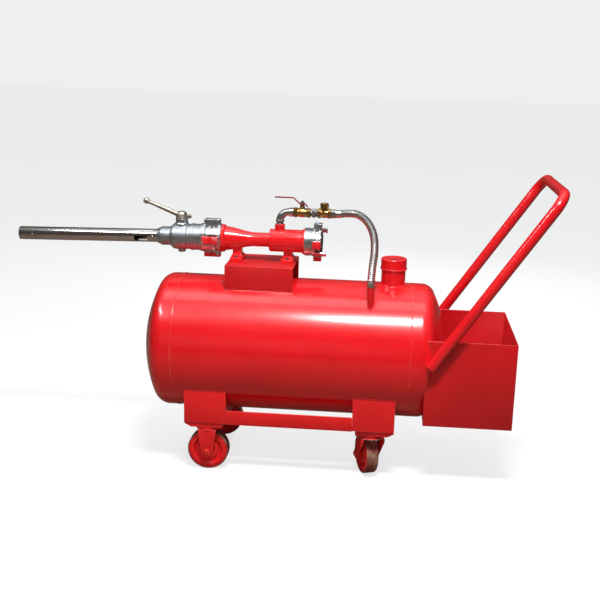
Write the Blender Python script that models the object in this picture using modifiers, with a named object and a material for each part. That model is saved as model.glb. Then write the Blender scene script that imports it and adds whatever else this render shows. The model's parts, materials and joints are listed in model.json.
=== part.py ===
"""Wheeled foam fire extinguisher, modelled as the separate pieces it is built from.

A horizontal foam tank stands on a trolley frame with two fixed and two swivel casters. A foam
eductor lies on a saddle above it, draws from the tank through a valve, a check valve and a hose,
and feeds a hand-held foam tube through a claw coupling and a ball valve. A tool bin and a push
handle are welded to the rear head.

Units are metres, +Z is up. +X points from the foam tube's muzzle to the push handle, so the front
is at -X, the left side is at -Y. The origin is on the floor, under the middle of the bounding box.
Lengths along X are measured from the tank's middle, and an empty moves them all to the origin.
"""
import math

import bmesh
import bpy
from mathutils import Matrix, Vector

GAP = 0.0003            # left between solids that touch
RUN = 0.0004            # radial clearance of a running fit
BALL_RUN = 0.0015       # radial clearance of a ball in its faceted seat

# Facets round each turned solid
TANK_STEPS = 28
LARGE = 20
MEDIUM = 12
SMALL = 8

# Tank
TANK_R = 0.250
TANK_Z = 0.446
TANK_WALL = 0.004
SHELL_LENGTH = 0.857
HEAD_FLANGE = 0.035     # straight part of a dished head
CROWN_R = 0.500
KNUCKLE_R = 0.050

# Filler
FILLER_X = 0.3555
FILLER_R = 0.0445
FILLER_WALL = 0.004
FILLER_TOP = 0.786
CAP_R = 0.0475
CAP_BEAD = 0.0025
CAP_HEIGHT = 0.042
CAP_WALL = 0.0022
GASKET_THICK = 0.003

# Suction socket on the tank's upper left side, and the pipe below it
SOCKET_X = 0.2775
SOCKET_Y = -0.154
SOCKET_R = 0.0128
SOCKET_STUB_R = 0.0105
SOCKET_STUB = 0.018     # length of the narrow stub
SOCKET_HEIGHT = 0.0735
SOCKET_BORE_R = 0.0075
DIP_R = 0.0105
DIP_CLEAR = 0.014       # from the pipe's foot to the tank's bottom
DIP_TOP_CLEAR = 0.003   # from the pipe's top to the faceted tank wall

# Saddle bracket under the eductor
SADDLE_X = -0.1309
SADDLE_LENGTH = 0.2492
SADDLE_WIDTH = 0.2236
SADDLE_TOP = 0.7614
SADDLE_SHEET = 0.004

# Eductor
LINE_Z = 0.8405
OUTLET_X = -0.2825      # outlet flange's face
EDUCTOR_LENGTH = 0.3075
FLANGE_R = 0.0510
FLANGE_THICK = 0.010
CONE_START_R = 0.0445
CONE_LENGTH = 0.1035
THROAT_R = 0.0260
THROAT_LENGTH = 0.0625
CHAMBER_R = 0.0418
CHAMBER_FLANGE_R = 0.0475
CHAMBER_FLANGE = 0.0075
BOSS_X = -0.0691
BOSS_R = 0.0185
BOSS_TOP = 0.9025
WATERWAY_R = 0.0300
JET_TIP_R = 0.0110
FOOT_X = (-0.225, -0.0365)
FOOT_LENGTH = 0.036
FOOT_WIDTH = 0.066
PAD_HEIGHT = 0.016
PAD_LENGTH = 0.044
PAD_WIDTH = 0.092

# Claw couplings
HALF_LENGTH = 0.033     # back to the rim's face
HUB_LENGTH = 0.014
HUB_R = 0.0525
GROOVE_R = 0.0425
RIM_R = 0.0465
RIM_THICK = 0.009
SEAL_R = 0.0405
SEAL_DEPTH = 0.006
SEAL_PROUD = 0.003      # on a coupled half
INLET_SEAL_PROUD = 0.005
INLET_COLLAR = 0.026    # plain ring behind the inlet coupling
INLET_COLLAR_R = 0.0515
LUG_R = 0.0705
LUG_HALF_WIDTH = 0.013
LUG_START = 0.006
CLAW_IN_R = 0.0475
CLAW_OUT_R = 0.0535
CLAW_HALF_ANGLE = 15.0
CLAW_TOOTH = 0.0045
OUTLET_CLAW_ANGLE = 56.0
GUN_CLAW_ANGLE = 124.0
INLET_CLAW_ANGLE = 143.0

# Gun: adaptor, ball valve, end collar and foam tube
ADAPTOR_LENGTH = 0.0415
ADAPTOR_R = 0.0485
ADAPTOR_RIB_R = 0.0515
VALVE_LENGTH = 0.0760
VALVE_R = 0.0470
VALVE_CENTRE = 0.037    # from the adaptor's end to the ball's centre
VALVE_NECK_R = 0.0225
VALVE_NECK_TOP = 0.9085
VALVE_BALL_R = 0.0340
VALVE_BORE_R = 0.0200
VALVE_STEM_R = 0.0080
VALVE_DRAIN_R = 0.0135
VALVE_DRAIN_Z = 0.7835
HANDLE_BOSS_R = 0.0205
HANDLE_BOSS_TOP = 0.9345
HANDLE_RISE = 21.2      # degrees
HANDLE_BAR = 0.1400
HANDLE_BAR_R = (0.0095, 0.0068)
HANDLE_KNOB_R = 0.0115
COLLAR_LENGTH = 0.0500
COLLAR_R = 0.0345
TUBE_R = 0.0245
TUBE_WALL = 0.0015
TUBE_LENGTH = 0.5700
TUBE_DROOP = 1.34       # degrees
TUBE_SINK = 0.045       # length of the tube inside the collar
SLOT_LENGTH = 0.049
SLOT_HEIGHT = 0.026
SLOT_FROM_COLLAR = 0.036

# Suction line above the eductor
SUCTION_Z = 0.9478
PIPE_R = 0.0140
ELBOW_R = 0.0330        # centreline bend
NIPPLE_TOP = 0.9110
UNION_LENGTH = 0.0170
UNION_R = 0.0165
BRASS_LENGTH = 0.0615
BRASS_R = 0.0176
BRASS_BALL_R = 0.0118
SUCTION_BORE_R = 0.0075
STEM_R = 0.0045
LEVER_Z = 0.9790
LEVER_RISE = 0.0220
LEVER_FLAT = 0.0680
LEVER_RAMP = 0.0300
LEVER_WIDTH = 0.0170
LEVER_SHEET = 0.0030
LINK_LENGTH = 0.0250
CHECK_LENGTH = 0.0500
CHECK_CAP_R = 0.0165
CHECK_CAP_TOP = 0.9870
CHECK_CHAMBER_R = 0.0125
HOSE_NUT_LENGTH = 0.0225
HOSE_R = 0.0148
HOSE_STRAIGHT = 0.012   # straight length at each end
HOSE_POINTS = [
    (0.1425, 0.0000, 0.9478), (0.1723, -0.0017, 0.9508), (0.2093, -0.0115, 0.9520),
    (0.2412, -0.0274, 0.9390), (0.2654, -0.0495, 0.9134), (0.2802, -0.0767, 0.8794),
    (0.2843, -0.1095, 0.8350), (0.2803, -0.1367, 0.7897), (0.2775, -0.1520, 0.7457),
    (0.2775, -0.1540, 0.7168),
]

# Frame
BRACKET_X = 0.3080      # middle of each bracket, from the tank's middle
BRACKET_LENGTH = 0.1530
FRAME_HALF_WIDTH = 0.2144
BRACKET_BOTTOM = 0.1905
BRACKET_TOP = 0.3185
BRACKET_SHEET = 0.005
RAIL_BOTTOM = 0.1880
RAIL_HEIGHT = 0.0540
RAIL_SHELF = 0.0430
RAIL_SHEET = 0.005

# Casters
WHEEL_R = 0.0760
WHEEL_WIDTH = 0.0460
HUB_WIDTH = 0.0700
HUB_R_OUT = 0.0180
TREAD_EDGE = 0.0070
AXLE_R = 0.0060
CASTER_X = 0.3010
CASTER_Y = 0.1670
CASTER_TRAIL = 0.0400
REST_SWIVEL = 20.0      # degrees, where the swivel casters stand at rest
PAD_BOTTOM = 0.1720
PAD_CHAMFER = (0.024, 0.013)
PAD_INSET = 0.012
PAD_FRONT = 0.0040      # the pad's face behind the bracket's
PAD_DEPTH = 0.0900
RACE_R = 0.0450
CROWN_TOP = 0.1625
CROWN_THICK = 0.0055
CROWN_STEP = 0.0010     # from the crown's race down to the fork's sheet
FORK_BEND = 0.0090
LEG_SHEET = 0.0050
LEG_INSIDE = 0.0385     # from the wheel's middle plane
LEG_TOP_WIDTH = 0.0640
LEG_END_R = 0.0200
KINGPIN_R = 0.0060
BOLT_HEAD_R = 0.0100
BOLT_HEAD = 0.0065

# Tool bin and push handle
BIN_X = 0.4847
BIN_LENGTH = 0.3177
BIN_WIDTH = 0.4536
BIN_BOTTOM = 0.2306
BIN_TOP = 0.5490
BIN_SHEET = 0.0030
PUSH_R = 0.0190
PUSH_FOOT_X = 0.5010
PUSH_FOOT_Z = 0.4545
PUSH_ANGLE = 56.4
PUSH_LENGTH = 0.7508    # foot to the crossbar's centre line
PUSH_BEND_R = 0.0650
PUSH_CLEAR = 0.0007     # between a leg and the bin's side

# Worked out from the values above
PUSH_HALF_WIDTH = BIN_WIDTH / 2 + PUSH_CLEAR + PUSH_R
PUSH_DIR = Vector((math.cos(math.radians(PUSH_ANGLE)), 0.0, math.sin(math.radians(PUSH_ANGLE))))
PLANE_GAP = 2 * SEAL_PROUD + GAP
GUN_BACK_X = OUTLET_X - GAP - HALF_LENGTH - PLANE_GAP - HALF_LENGTH
ADAPTOR_X = GUN_BACK_X - GAP
VALVE_X = ADAPTOR_X - ADAPTOR_LENGTH - GAP
BALL_X = VALVE_X - VALVE_CENTRE
COLLAR_X = VALVE_X - VALVE_LENGTH - GAP
TUBE_START_X = COLLAR_X - COLLAR_LENGTH + TUBE_SINK
MUZZLE_X = COLLAR_X - (COLLAR_LENGTH - TUBE_SINK + TUBE_LENGTH) * math.cos(math.radians(TUBE_DROOP))
MUZZLE_X -= TUBE_R * math.sin(math.radians(TUBE_DROOP))
HANDLE_END_X = PUSH_FOOT_X + PUSH_LENGTH * PUSH_DIR.x + PUSH_R
INLET_X = OUTLET_X + EDUCTOR_LENGTH
UNION_X = BOSS_X + ELBOW_R
BRASS_X = UNION_X + UNION_LENGTH + GAP
STEM_X = BRASS_X + BRASS_LENGTH / 2
LINK_X = BRASS_X + BRASS_LENGTH + GAP
CHECK_X = LINK_X + LINK_LENGTH + GAP
HOSE_NUT_X = CHECK_X + CHECK_LENGTH + GAP
ORIGIN_X = -(MUZZLE_X + HANDLE_END_X) / 2

RED = (0.60, 0.010, 0.012)
DARK_RED = (0.42, 0.008, 0.010)
ALUMINIUM = (0.62, 0.64, 0.65)
STEEL = (0.55, 0.56, 0.57)
BRASS = (0.62, 0.42, 0.16)
CHROME = (0.72, 0.70, 0.66)
BLACK = (0.015, 0.015, 0.016)
TREAD = (0.22, 0.05, 0.04)

for old in list(bpy.data.objects):
    bpy.data.objects.remove(old, do_unlink=True)


def new_collection(name):
    group = bpy.data.collections.new(name)
    bpy.context.scene.collection.children.link(group)
    return group


PARTS = new_collection("foam_trolley")
CUTTERS = new_collection("cutters")
BASE = bpy.data.objects.new("base", None)
BASE.location = (ORIGIN_X, 0.0, 0.0)
PARTS.objects.link(BASE)


def finish(name, colour, roughness, metallic):
    made = bpy.data.materials.new(name)
    made.use_nodes = True
    shader = made.node_tree.nodes["Principled BSDF"]
    shader.inputs["Base Color"].default_value = (*colour, 1.0)
    shader.inputs["Roughness"].default_value = roughness
    shader.inputs["Metallic"].default_value = metallic
    return made


PAINT = finish("gloss_red_paint", RED, 0.18, 0.0)
FRAME_PAINT = finish("frame_red_paint", DARK_RED, 0.35, 0.0)
CAST = finish("cast_aluminium", ALUMINIUM, 0.42, 1.0)
ZINC = finish("zinc_steel", STEEL, 0.35, 1.0)
YELLOW = finish("brass", BRASS, 0.30, 1.0)
SHINY = finish("stainless_tube", CHROME, 0.15, 1.0)
RUBBER = finish("black_rubber", BLACK, 0.70, 0.0)
TYRE = finish("tyre_rubber", TREAD, 0.65, 0.0)


def place(obj, name, group, dress=None, parent=BASE):
    """Names an object, moves it to a collection, and gives it its material and parent."""
    obj.name = name
    obj.data.name = name
    for old in list(obj.users_collection):
        old.objects.unlink(obj)
    group.objects.link(obj)
    obj.parent = parent
    if dress is not None:
        obj.data.materials.clear()
        obj.data.materials.append(dress)
    if group is CUTTERS:
        obj.hide_render = True
        obj.display_type = "WIRE"
    return obj


def smooth(obj, angle=35.0):
    obj.data.shade_smooth()
    obj.data.set_sharp_from_angle(angle=math.radians(angle))
    return obj


AXES = {
    "Z": Matrix.Identity(4),
    "X": Matrix.Rotation(math.radians(90), 4, "Y"),
    "-Y": Matrix.Rotation(math.radians(90), 4, "X"),
}
UPRIGHT = AXES["-Y"]    # stands an XY outline up in the XZ plane
ACROSS_X = Matrix(((0, 0, 1, 0), (1, 0, 0, 0), (0, 1, 0, 0), (0, 0, 0, 1)))   # and in the YZ plane


def turned(name, outline, axis, spot, steps, dress=None, group=PARTS, parent=BASE, extra=None):
    """A turned solid. The outline holds (distance along the axis, radius) points in order.

    An outline whose ends are on the axis is left open there; any other one is closed.
    """
    solid_core = outline[0][1] == 0.0 and outline[-1][1] == 0.0
    points = list(outline)
    area = sum(a[0] * b[1] - b[0] * a[1] for a, b in zip(points, points[1:] + points[:1]))
    if area < 0.0:
        points.reverse()
    mesh = bpy.data.meshes.new(name)
    edges = [(i, i + 1) for i in range(len(points) - 1)]
    if not solid_core:
        edges.append((len(points) - 1, 0))
    mesh.from_pydata([(r, 0.0, u) for u, r in points], edges, [])
    obj = bpy.data.objects.new(name, mesh)
    bpy.context.scene.collection.objects.link(obj)
    place(obj, name, group, dress, parent)
    turn = Matrix.Translation(spot) @ AXES[axis]
    obj.matrix_local = turn if extra is None else extra @ turn
    screw = obj.modifiers.new("turn", "SCREW")
    screw.angle = math.tau
    screw.steps = steps
    screw.render_steps = steps
    screw.use_merge_vertices = True
    screw.merge_threshold = 0.00001
    screw.use_smooth_shade = False
    return obj


def box(name, low, high, dress=None, group=PARTS, parent=BASE, extra=None):
    """A rectangular block between two corners."""
    bpy.ops.mesh.primitive_cube_add(size=1.0)
    obj = bpy.context.active_object
    size = [b - a for a, b in zip(low, high)]
    middle = [(a + b) / 2 for a, b in zip(low, high)]
    obj.data.transform(Matrix.Diagonal((*size, 1.0)))
    place(obj, name, group, dress, parent)
    obj.matrix_local = Matrix.Translation(middle) if extra is None else extra @ Matrix.Translation(middle)
    return obj


def to_mesh(curve_obj, name, dress, group, parent):
    """Replaces a curve object by its welded mesh, in the same place."""
    seat = curve_obj.matrix_local.copy()
    view = bpy.context.evaluated_depsgraph_get()
    mesh = bpy.data.meshes.new_from_object(curve_obj.evaluated_get(view))
    work = bmesh.new()
    work.from_mesh(mesh)
    bmesh.ops.remove_doubles(work, verts=work.verts, dist=0.00001)
    bmesh.ops.dissolve_degenerate(work, edges=work.edges, dist=0.000001)
    bmesh.ops.recalc_face_normals(work, faces=work.faces)
    work.to_mesh(mesh)
    work.free()
    bpy.data.objects.remove(curve_obj, do_unlink=True)
    obj = bpy.data.objects.new(name, mesh)
    bpy.context.scene.collection.objects.link(obj)
    place(obj, name, group, dress, parent)
    obj.matrix_local = seat
    return obj


def plate(name, outline, thickness, seat, dress=None, group=PARTS, parent=BASE):
    """A flat plate of the given XY outline, half its thickness to each side of its seat."""
    curve = bpy.data.curves.new(name, "CURVE")
    curve.dimensions = "2D"
    curve.fill_mode = "BOTH"
    curve.extrude = thickness / 2
    line = curve.splines.new("POLY")
    line.points.add(len(outline) - 1)
    for point, spot in zip(line.points, outline):
        point.co = (spot[0], spot[1], 0.0, 1.0)
    line.use_cyclic_u = True
    obj = bpy.data.objects.new(name, curve)
    bpy.context.scene.collection.objects.link(obj)
    obj.matrix_local = seat
    bpy.context.view_layer.update()
    return to_mesh(obj, name, dress, group, parent)


def tube(name, points, radius, resolution, dress=None, group=PARTS, parent=BASE):
    """A round bar along a line of points."""
    curve = bpy.data.curves.new(name, "CURVE")
    curve.dimensions = "3D"
    curve.bevel_depth = radius
    curve.bevel_resolution = resolution
    curve.use_fill_caps = True
    line = curve.splines.new("POLY")
    line.points.add(len(points) - 1)
    for point, spot in zip(line.points, points):
        point.co = (*spot, 1.0)
    obj = bpy.data.objects.new(name, curve)
    bpy.context.scene.collection.objects.link(obj)
    bpy.context.view_layer.update()
    return to_mesh(obj, name, dress, group, parent)


def combine(obj, tools, operation):
    """Adds one exact Boolean modifier for each tool."""
    for tool in tools:
        step = obj.modifiers.new(operation.lower(), "BOOLEAN")
        step.operation = operation
        step.solver = "EXACT"
        step.object = tool
    return obj


def cut(obj, *tools):
    return combine(obj, tools, "DIFFERENCE")


def join(obj, *tools):
    return combine(obj, tools, "UNION")


def rod(name, axis, spot, radius, start, end, steps=MEDIUM, dress=None, group=CUTTERS, extra=None):
    """A plain round bar along an axis, from start to end."""
    outline = [(start, 0.0), (start, radius), (end, radius), (end, 0.0)]
    return turned(name, outline, axis, spot, steps, dress, group, extra=extra)


def arc(centre, radius, start, end, count):
    """Points on an arc in a plane, angles in degrees."""
    step = (end - start) / count
    angles = [math.radians(start + step * i) for i in range(count + 1)]
    return [(centre[0] + radius * math.cos(a), centre[1] + radius * math.sin(a)) for a in angles]


def head_curve(offset):
    """(distance from the tangent line, radius) along a dished head, from its rim to its apex."""
    crown = CROWN_R + offset
    knuckle = KNUCKLE_R + offset
    reach = math.sqrt((CROWN_R - KNUCKLE_R) ** 2 - (TANK_R - KNUCKLE_R) ** 2)
    turn_angle = math.degrees(math.atan2(TANK_R - KNUCKLE_R, reach))
    corner = arc((0.0, TANK_R - KNUCKLE_R), knuckle, 90.0, turn_angle, 2)
    dish = arc((-reach, 0.0), crown, turn_angle, 0.0, 3)[1:-1]
    return corner + dish + [(crown - reach, 0.0)]


def hexagon(radius):
    return [(radius * math.cos(math.radians(60 * i)), radius * math.sin(math.radians(60 * i)))
            for i in range(6)]


# ---------------------------------------------------------------- tank
TANGENT_X = SHELL_LENGTH / 2 + HEAD_FLANGE


def make_tank():
    half = SHELL_LENGTH / 2
    inner = TANK_R - TANK_WALL
    shell = turned("tank_shell", [(-half, TANK_R), (half, TANK_R), (half, inner), (-half, inner)],
                   "X", (0, 0, TANK_Z), TANK_STEPS, PAINT)
    neck_hole = rod("neck_hole", "Z", (FILLER_X, 0, 0), FILLER_R + GAP, TANK_Z, FILLER_TOP, LARGE)
    socket_hole = rod("socket_hole", "Z", (SOCKET_X, SOCKET_Y, 0), SOCKET_BORE_R, TANK_Z, LINE_Z, SMALL)
    cut(shell, neck_hole, socket_hole)
    outer = head_curve(0.0)
    inside = head_curve(-TANK_WALL)
    seam = half + GAP - TANGENT_X
    for name, side in (("tank_head_rear", 1), ("tank_head_front", -1)):
        ring = [(seam, TANK_R)] + outer
        hollow = [(seam, TANK_R - TANK_WALL)] + inside
        outline = [(side * (u + TANGENT_X), r) for u, r in ring]
        outline += [(side * (u + TANGENT_X), r) for u, r in reversed(hollow)]
        dished(name, outline, PAINT)


def dished(name, outline, dress):
    """A bowl: both ends of its outline are on the axis, and the bowl is open between them."""
    half_way = len(outline) // 2
    ordered = outline[half_way:] + outline[:half_way]
    return turned(name, ordered, "X", (0, 0, TANK_Z), TANK_STEPS, dress)


def make_envelope():
    """The tank's outside plus the gap, which trims all that is welded to it."""
    curve = [(u + TANGENT_X, r) for u, r in head_curve(GAP)]
    outline = [(-u, r) for u, r in reversed(curve)] + curve
    return turned("tank_envelope", outline, "X", (0, 0, TANK_Z), TANK_STEPS, None, CUTTERS)


make_tank()
ENVELOPE = make_envelope()


def make_filler():
    inner = FILLER_R - FILLER_WALL
    low = TANK_Z + TANK_R - 0.012
    neck = turned("filler_neck", [(low, FILLER_R), (FILLER_TOP, FILLER_R), (FILLER_TOP, inner), (low, inner)],
                  "Z", (FILLER_X, 0, 0), LARGE, PAINT)
    collar_top = TANK_Z + TANK_R + 0.006
    collar = turned("neck_weld", [(low, FILLER_R - 0.001), (low, FILLER_R + 0.007),
                                  (collar_top - 0.005, FILLER_R + 0.007), (collar_top, FILLER_R - 0.001)],
                    "Z", (FILLER_X, 0, 0), LARGE, None, CUTTERS)
    cut(collar, ENVELOPE)
    join(neck, collar)
    gasket_low = FILLER_TOP + GAP
    gasket_high = gasket_low + GASKET_THICK
    turned("filler_gasket", [(gasket_low, FILLER_R), (gasket_high, FILLER_R),
                             (gasket_high, inner), (gasket_low, inner)],
           "Z", (FILLER_X, 0, 0), LARGE, RUBBER)
    roof = gasket_high + GAP
    top = roof + CAP_WALL * 2
    low = top - CAP_HEIGHT
    bead = CAP_R + CAP_BEAD
    bore = FILLER_R + RUN + GAP
    turned("filler_cap", [(roof, 0.0), (roof, bore), (low, bore), (low, bead - 0.001), (low + 0.003, bead),
                          (low + 0.006, bead), (low + 0.009, CAP_R), (top - 0.003, CAP_R),
                          (top, CAP_R - 0.003), (top, 0.0)],
           "Z", (FILLER_X, 0, 0), LARGE, PAINT)


make_filler()


def make_socket():
    seat = TANK_Z + math.sqrt(TANK_R ** 2 - SOCKET_Y ** 2)
    top = seat + SOCKET_HEIGHT
    wide = seat + SOCKET_STUB
    socket = turned("suction_socket", [(seat - 0.012, SOCKET_STUB_R), (wide - 0.004, SOCKET_STUB_R),
                                       (wide, SOCKET_R), (top, SOCKET_R), (top, SOCKET_BORE_R),
                                       (seat - 0.012, SOCKET_BORE_R)],
                    "Z", (SOCKET_X, SOCKET_Y, 0), MEDIUM, PAINT)
    cut(socket, ENVELOPE)
    slope = abs(SOCKET_Y) / math.sqrt(TANK_R ** 2 - SOCKET_Y ** 2)
    high = seat - slope * DIP_R - 1.3 * TANK_WALL - DIP_TOP_CLEAR
    foot = TANK_Z - math.sqrt((TANK_R - TANK_WALL) ** 2 - SOCKET_Y ** 2) + DIP_CLEAR
    turned("dip_tube", [(foot, DIP_R), (high, DIP_R), (high, SOCKET_BORE_R), (foot, SOCKET_BORE_R)],
           "Z", (SOCKET_X, SOCKET_Y, 0), MEDIUM, ZINC)


make_socket()


# ---------------------------------------------------------------- saddle and eductor
def make_saddle():
    x0 = SADDLE_X - SADDLE_LENGTH / 2
    x1 = SADDLE_X + SADDLE_LENGTH / 2
    half = SADDLE_WIDTH / 2
    top = box("saddle_bracket", (x0, -half, TANK_Z + TANK_R * 0.8), (x1, half, SADDLE_TOP), FRAME_PAINT)
    tunnel = box("saddle_tunnel", (x0 - 0.01, -half + SADDLE_SHEET, TANK_Z),
                 (x1 + 0.01, half - SADDLE_SHEET, SADDLE_TOP - SADDLE_SHEET), None, CUTTERS)
    cut(top, tunnel, ENVELOPE)


def make_eductor():
    x = OUTLET_X
    far = INLET_X
    throat = x + FLANGE_THICK + CONE_LENGTH
    chamber = throat + THROAT_LENGTH
    bore = 0.019
    body = turned("ejector_body", [
        (x, FLANGE_R), (x + FLANGE_THICK, FLANGE_R), (x + FLANGE_THICK + 0.006, CONE_START_R),
        (throat, THROAT_R), (chamber, THROAT_R), (chamber + 0.004, CHAMBER_R),
        (far - CHAMBER_FLANGE, CHAMBER_R), (far - CHAMBER_FLANGE, CHAMBER_FLANGE_R),
        (far, CHAMBER_FLANGE_R), (far, WATERWAY_R), (far - 0.012, WATERWAY_R + 0.004),
        (chamber + 0.012, WATERWAY_R + 0.004), (chamber, bore), (throat, bore), (x, WATERWAY_R)],
        "X", (0, 0, LINE_Z), LARGE, PAINT)
    boss = rod("boss", "Z", (BOSS_X, 0, 0), BOSS_R, LINE_Z + WATERWAY_R + 0.006, BOSS_TOP)
    port = rod("boss_port", "Z", (BOSS_X, 0, 0), SUCTION_BORE_R, LINE_Z, BOSS_TOP + 0.01, SMALL)
    join(body, boss)
    for i, foot_x in enumerate(FOOT_X):
        low = SADDLE_TOP + GAP + PAD_HEIGHT + GAP
        radius = CHAMBER_R if i else CONE_START_R - (foot_x - x - FLANGE_THICK) * 0.19
        leg = box("foot_%d" % i, (foot_x - FOOT_LENGTH / 2 + 0.002, -FOOT_WIDTH / 4, low + 0.004),
                  (foot_x + FOOT_LENGTH / 2 - 0.002, FOOT_WIDTH / 4, LINE_Z - radius + 0.008), None, CUTTERS)
        sole = box("sole_%d" % i, (foot_x - FOOT_LENGTH / 2, -FOOT_WIDTH / 2, low),
                   (foot_x + FOOT_LENGTH / 2, FOOT_WIDTH / 2, low + 0.007), None, CUTTERS)
        join(body, leg, sole)
        name = ("ejector_foot_front", "ejector_foot_rear")[i]
        box(name, (foot_x - PAD_LENGTH / 2, -PAD_WIDTH / 2, SADDLE_TOP + GAP),
            (foot_x + PAD_LENGTH / 2, PAD_WIDTH / 2, SADDLE_TOP + GAP + PAD_HEIGHT), FRAME_PAINT)
    cut(body, port)
    mouth = far - 0.014
    reach = chamber - 0.006
    outside = WATERWAY_R + 0.004 - GAP
    jet = [(mouth, outside), (mouth - 0.012, outside), (mouth - 0.014, WATERWAY_R - 0.006),
           (reach, JET_TIP_R + 0.003), (reach, JET_TIP_R), (mouth, WATERWAY_R - 0.004)]
    turned("ejector_jet", jet, "X", (0, 0, LINE_Z), LARGE, YELLOW)


make_saddle()
make_eductor()


# ---------------------------------------------------------------- claw couplings
def claw_outline(centre_angle):
    """A segment of a ring in the YZ plane. Angles run from +Z towards -Y."""
    outer = arc((0, 0), CLAW_OUT_R, centre_angle - CLAW_HALF_ANGLE, centre_angle + CLAW_HALF_ANGLE, 2)
    inner = arc((0, 0), CLAW_IN_R, centre_angle + CLAW_HALF_ANGLE, centre_angle - CLAW_HALF_ANGLE, 2)
    return outer + inner


def tooth_outline(centre_angle):
    half = CLAW_HALF_ANGLE - 1.0
    outer = arc((0, 0), (CLAW_IN_R + CLAW_OUT_R) / 2, centre_angle - half, centre_angle + half, 2)
    inner = arc((0, 0), GROOVE_R + 0.001, centre_angle + half, centre_angle - half, 2)
    return outer + inner


def coupling(name, back, direction, collar, claw_angle, seal_name, proud):
    """Half a claw coupling, its back at x = back, facing along direction (+1 or -1)."""
    front = HALF_LENGTH
    outline = [(0.0, HUB_R), (HUB_LENGTH, HUB_R), (HUB_LENGTH, GROOVE_R), (front - RIM_THICK, GROOVE_R),
               (front - RIM_THICK, RIM_R), (front, RIM_R), (front, SEAL_R + GAP),
               (front - SEAL_DEPTH, SEAL_R + GAP), (front - SEAL_DEPTH, WATERWAY_R), (0.0, WATERWAY_R)]
    if collar:
        outline = [(-collar, INLET_COLLAR_R), (-0.003, INLET_COLLAR_R), (-0.0015, INLET_COLLAR_R - 0.003),
                   (0.0, INLET_COLLAR_R - 0.003)] + outline[:-1] + [(-collar, WATERWAY_R)]
    half = turned(name, [(back + direction * u, r) for u, r in outline], "X", (0, 0, LINE_Z), LARGE, CAST)
    # Claw angles run from +Z towards -Y, seen along +X.
    facing = Matrix(((0, 0, 1, 0), (0, -1, 0, 0), (1, 0, 0, 0), (0, 0, 0, 1)))
    tip = front + PLANE_GAP + RIM_THICK + 0.001 + CLAW_TOOTH + 0.0005
    for i in range(2):
        angle = claw_angle + 180 * i
        start = HUB_LENGTH - 0.006
        middle = back + direction * (start + tip) / 2
        seat = Matrix.Translation((middle, 0, LINE_Z)) @ facing
        claw = plate("%s_claw_%d" % (name, i), claw_outline(angle), tip - start, seat, None, CUTTERS)
        middle = back + direction * (tip - 0.0005 - CLAW_TOOTH / 2)
        seat = Matrix.Translation((middle, 0, LINE_Z)) @ facing
        tooth = plate("%s_tooth_%d" % (name, i), tooth_outline(angle), CLAW_TOOTH, seat, None, CUTTERS)
        join(half, claw, tooth)
    for i in range(4):
        spin = Matrix.Translation((0, 0, LINE_Z)) @ Matrix.Rotation(math.radians(90 * i), 4, "X")
        ends = sorted((back + direction * LUG_START, back + direction * (front - 0.0005)))
        lug = box("%s_lug_%d" % (name, i), (ends[0], -LUG_HALF_WIDTH, GROOVE_R - 0.002),
                  (ends[1], LUG_HALF_WIDTH, LUG_R), None, CUTTERS, extra=spin)
        join(half, lug)
    low = front - SEAL_DEPTH + GAP
    seal = [(low, SEAL_R), (front + proud - 0.001, SEAL_R), (front + proud, SEAL_R - 0.001),
            (front + proud, WATERWAY_R), (low, WATERWAY_R)]
    turned(seal_name, [(back + direction * u, r) for u, r in seal], "X", (0, 0, LINE_Z), LARGE, RUBBER)
    return half


coupling("inlet_coupling", INLET_X + GAP + INLET_COLLAR, 1, INLET_COLLAR, INLET_CLAW_ANGLE,
         "inlet_seal", INLET_SEAL_PROUD)
coupling("outlet_coupling", OUTLET_X - GAP, -1, 0.0, OUTLET_CLAW_ANGLE, "outlet_seal", SEAL_PROUD)
coupling("gun_coupling", GUN_BACK_X, 1, 0.0, GUN_CLAW_ANGLE, "gun_seal", SEAL_PROUD)


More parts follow.
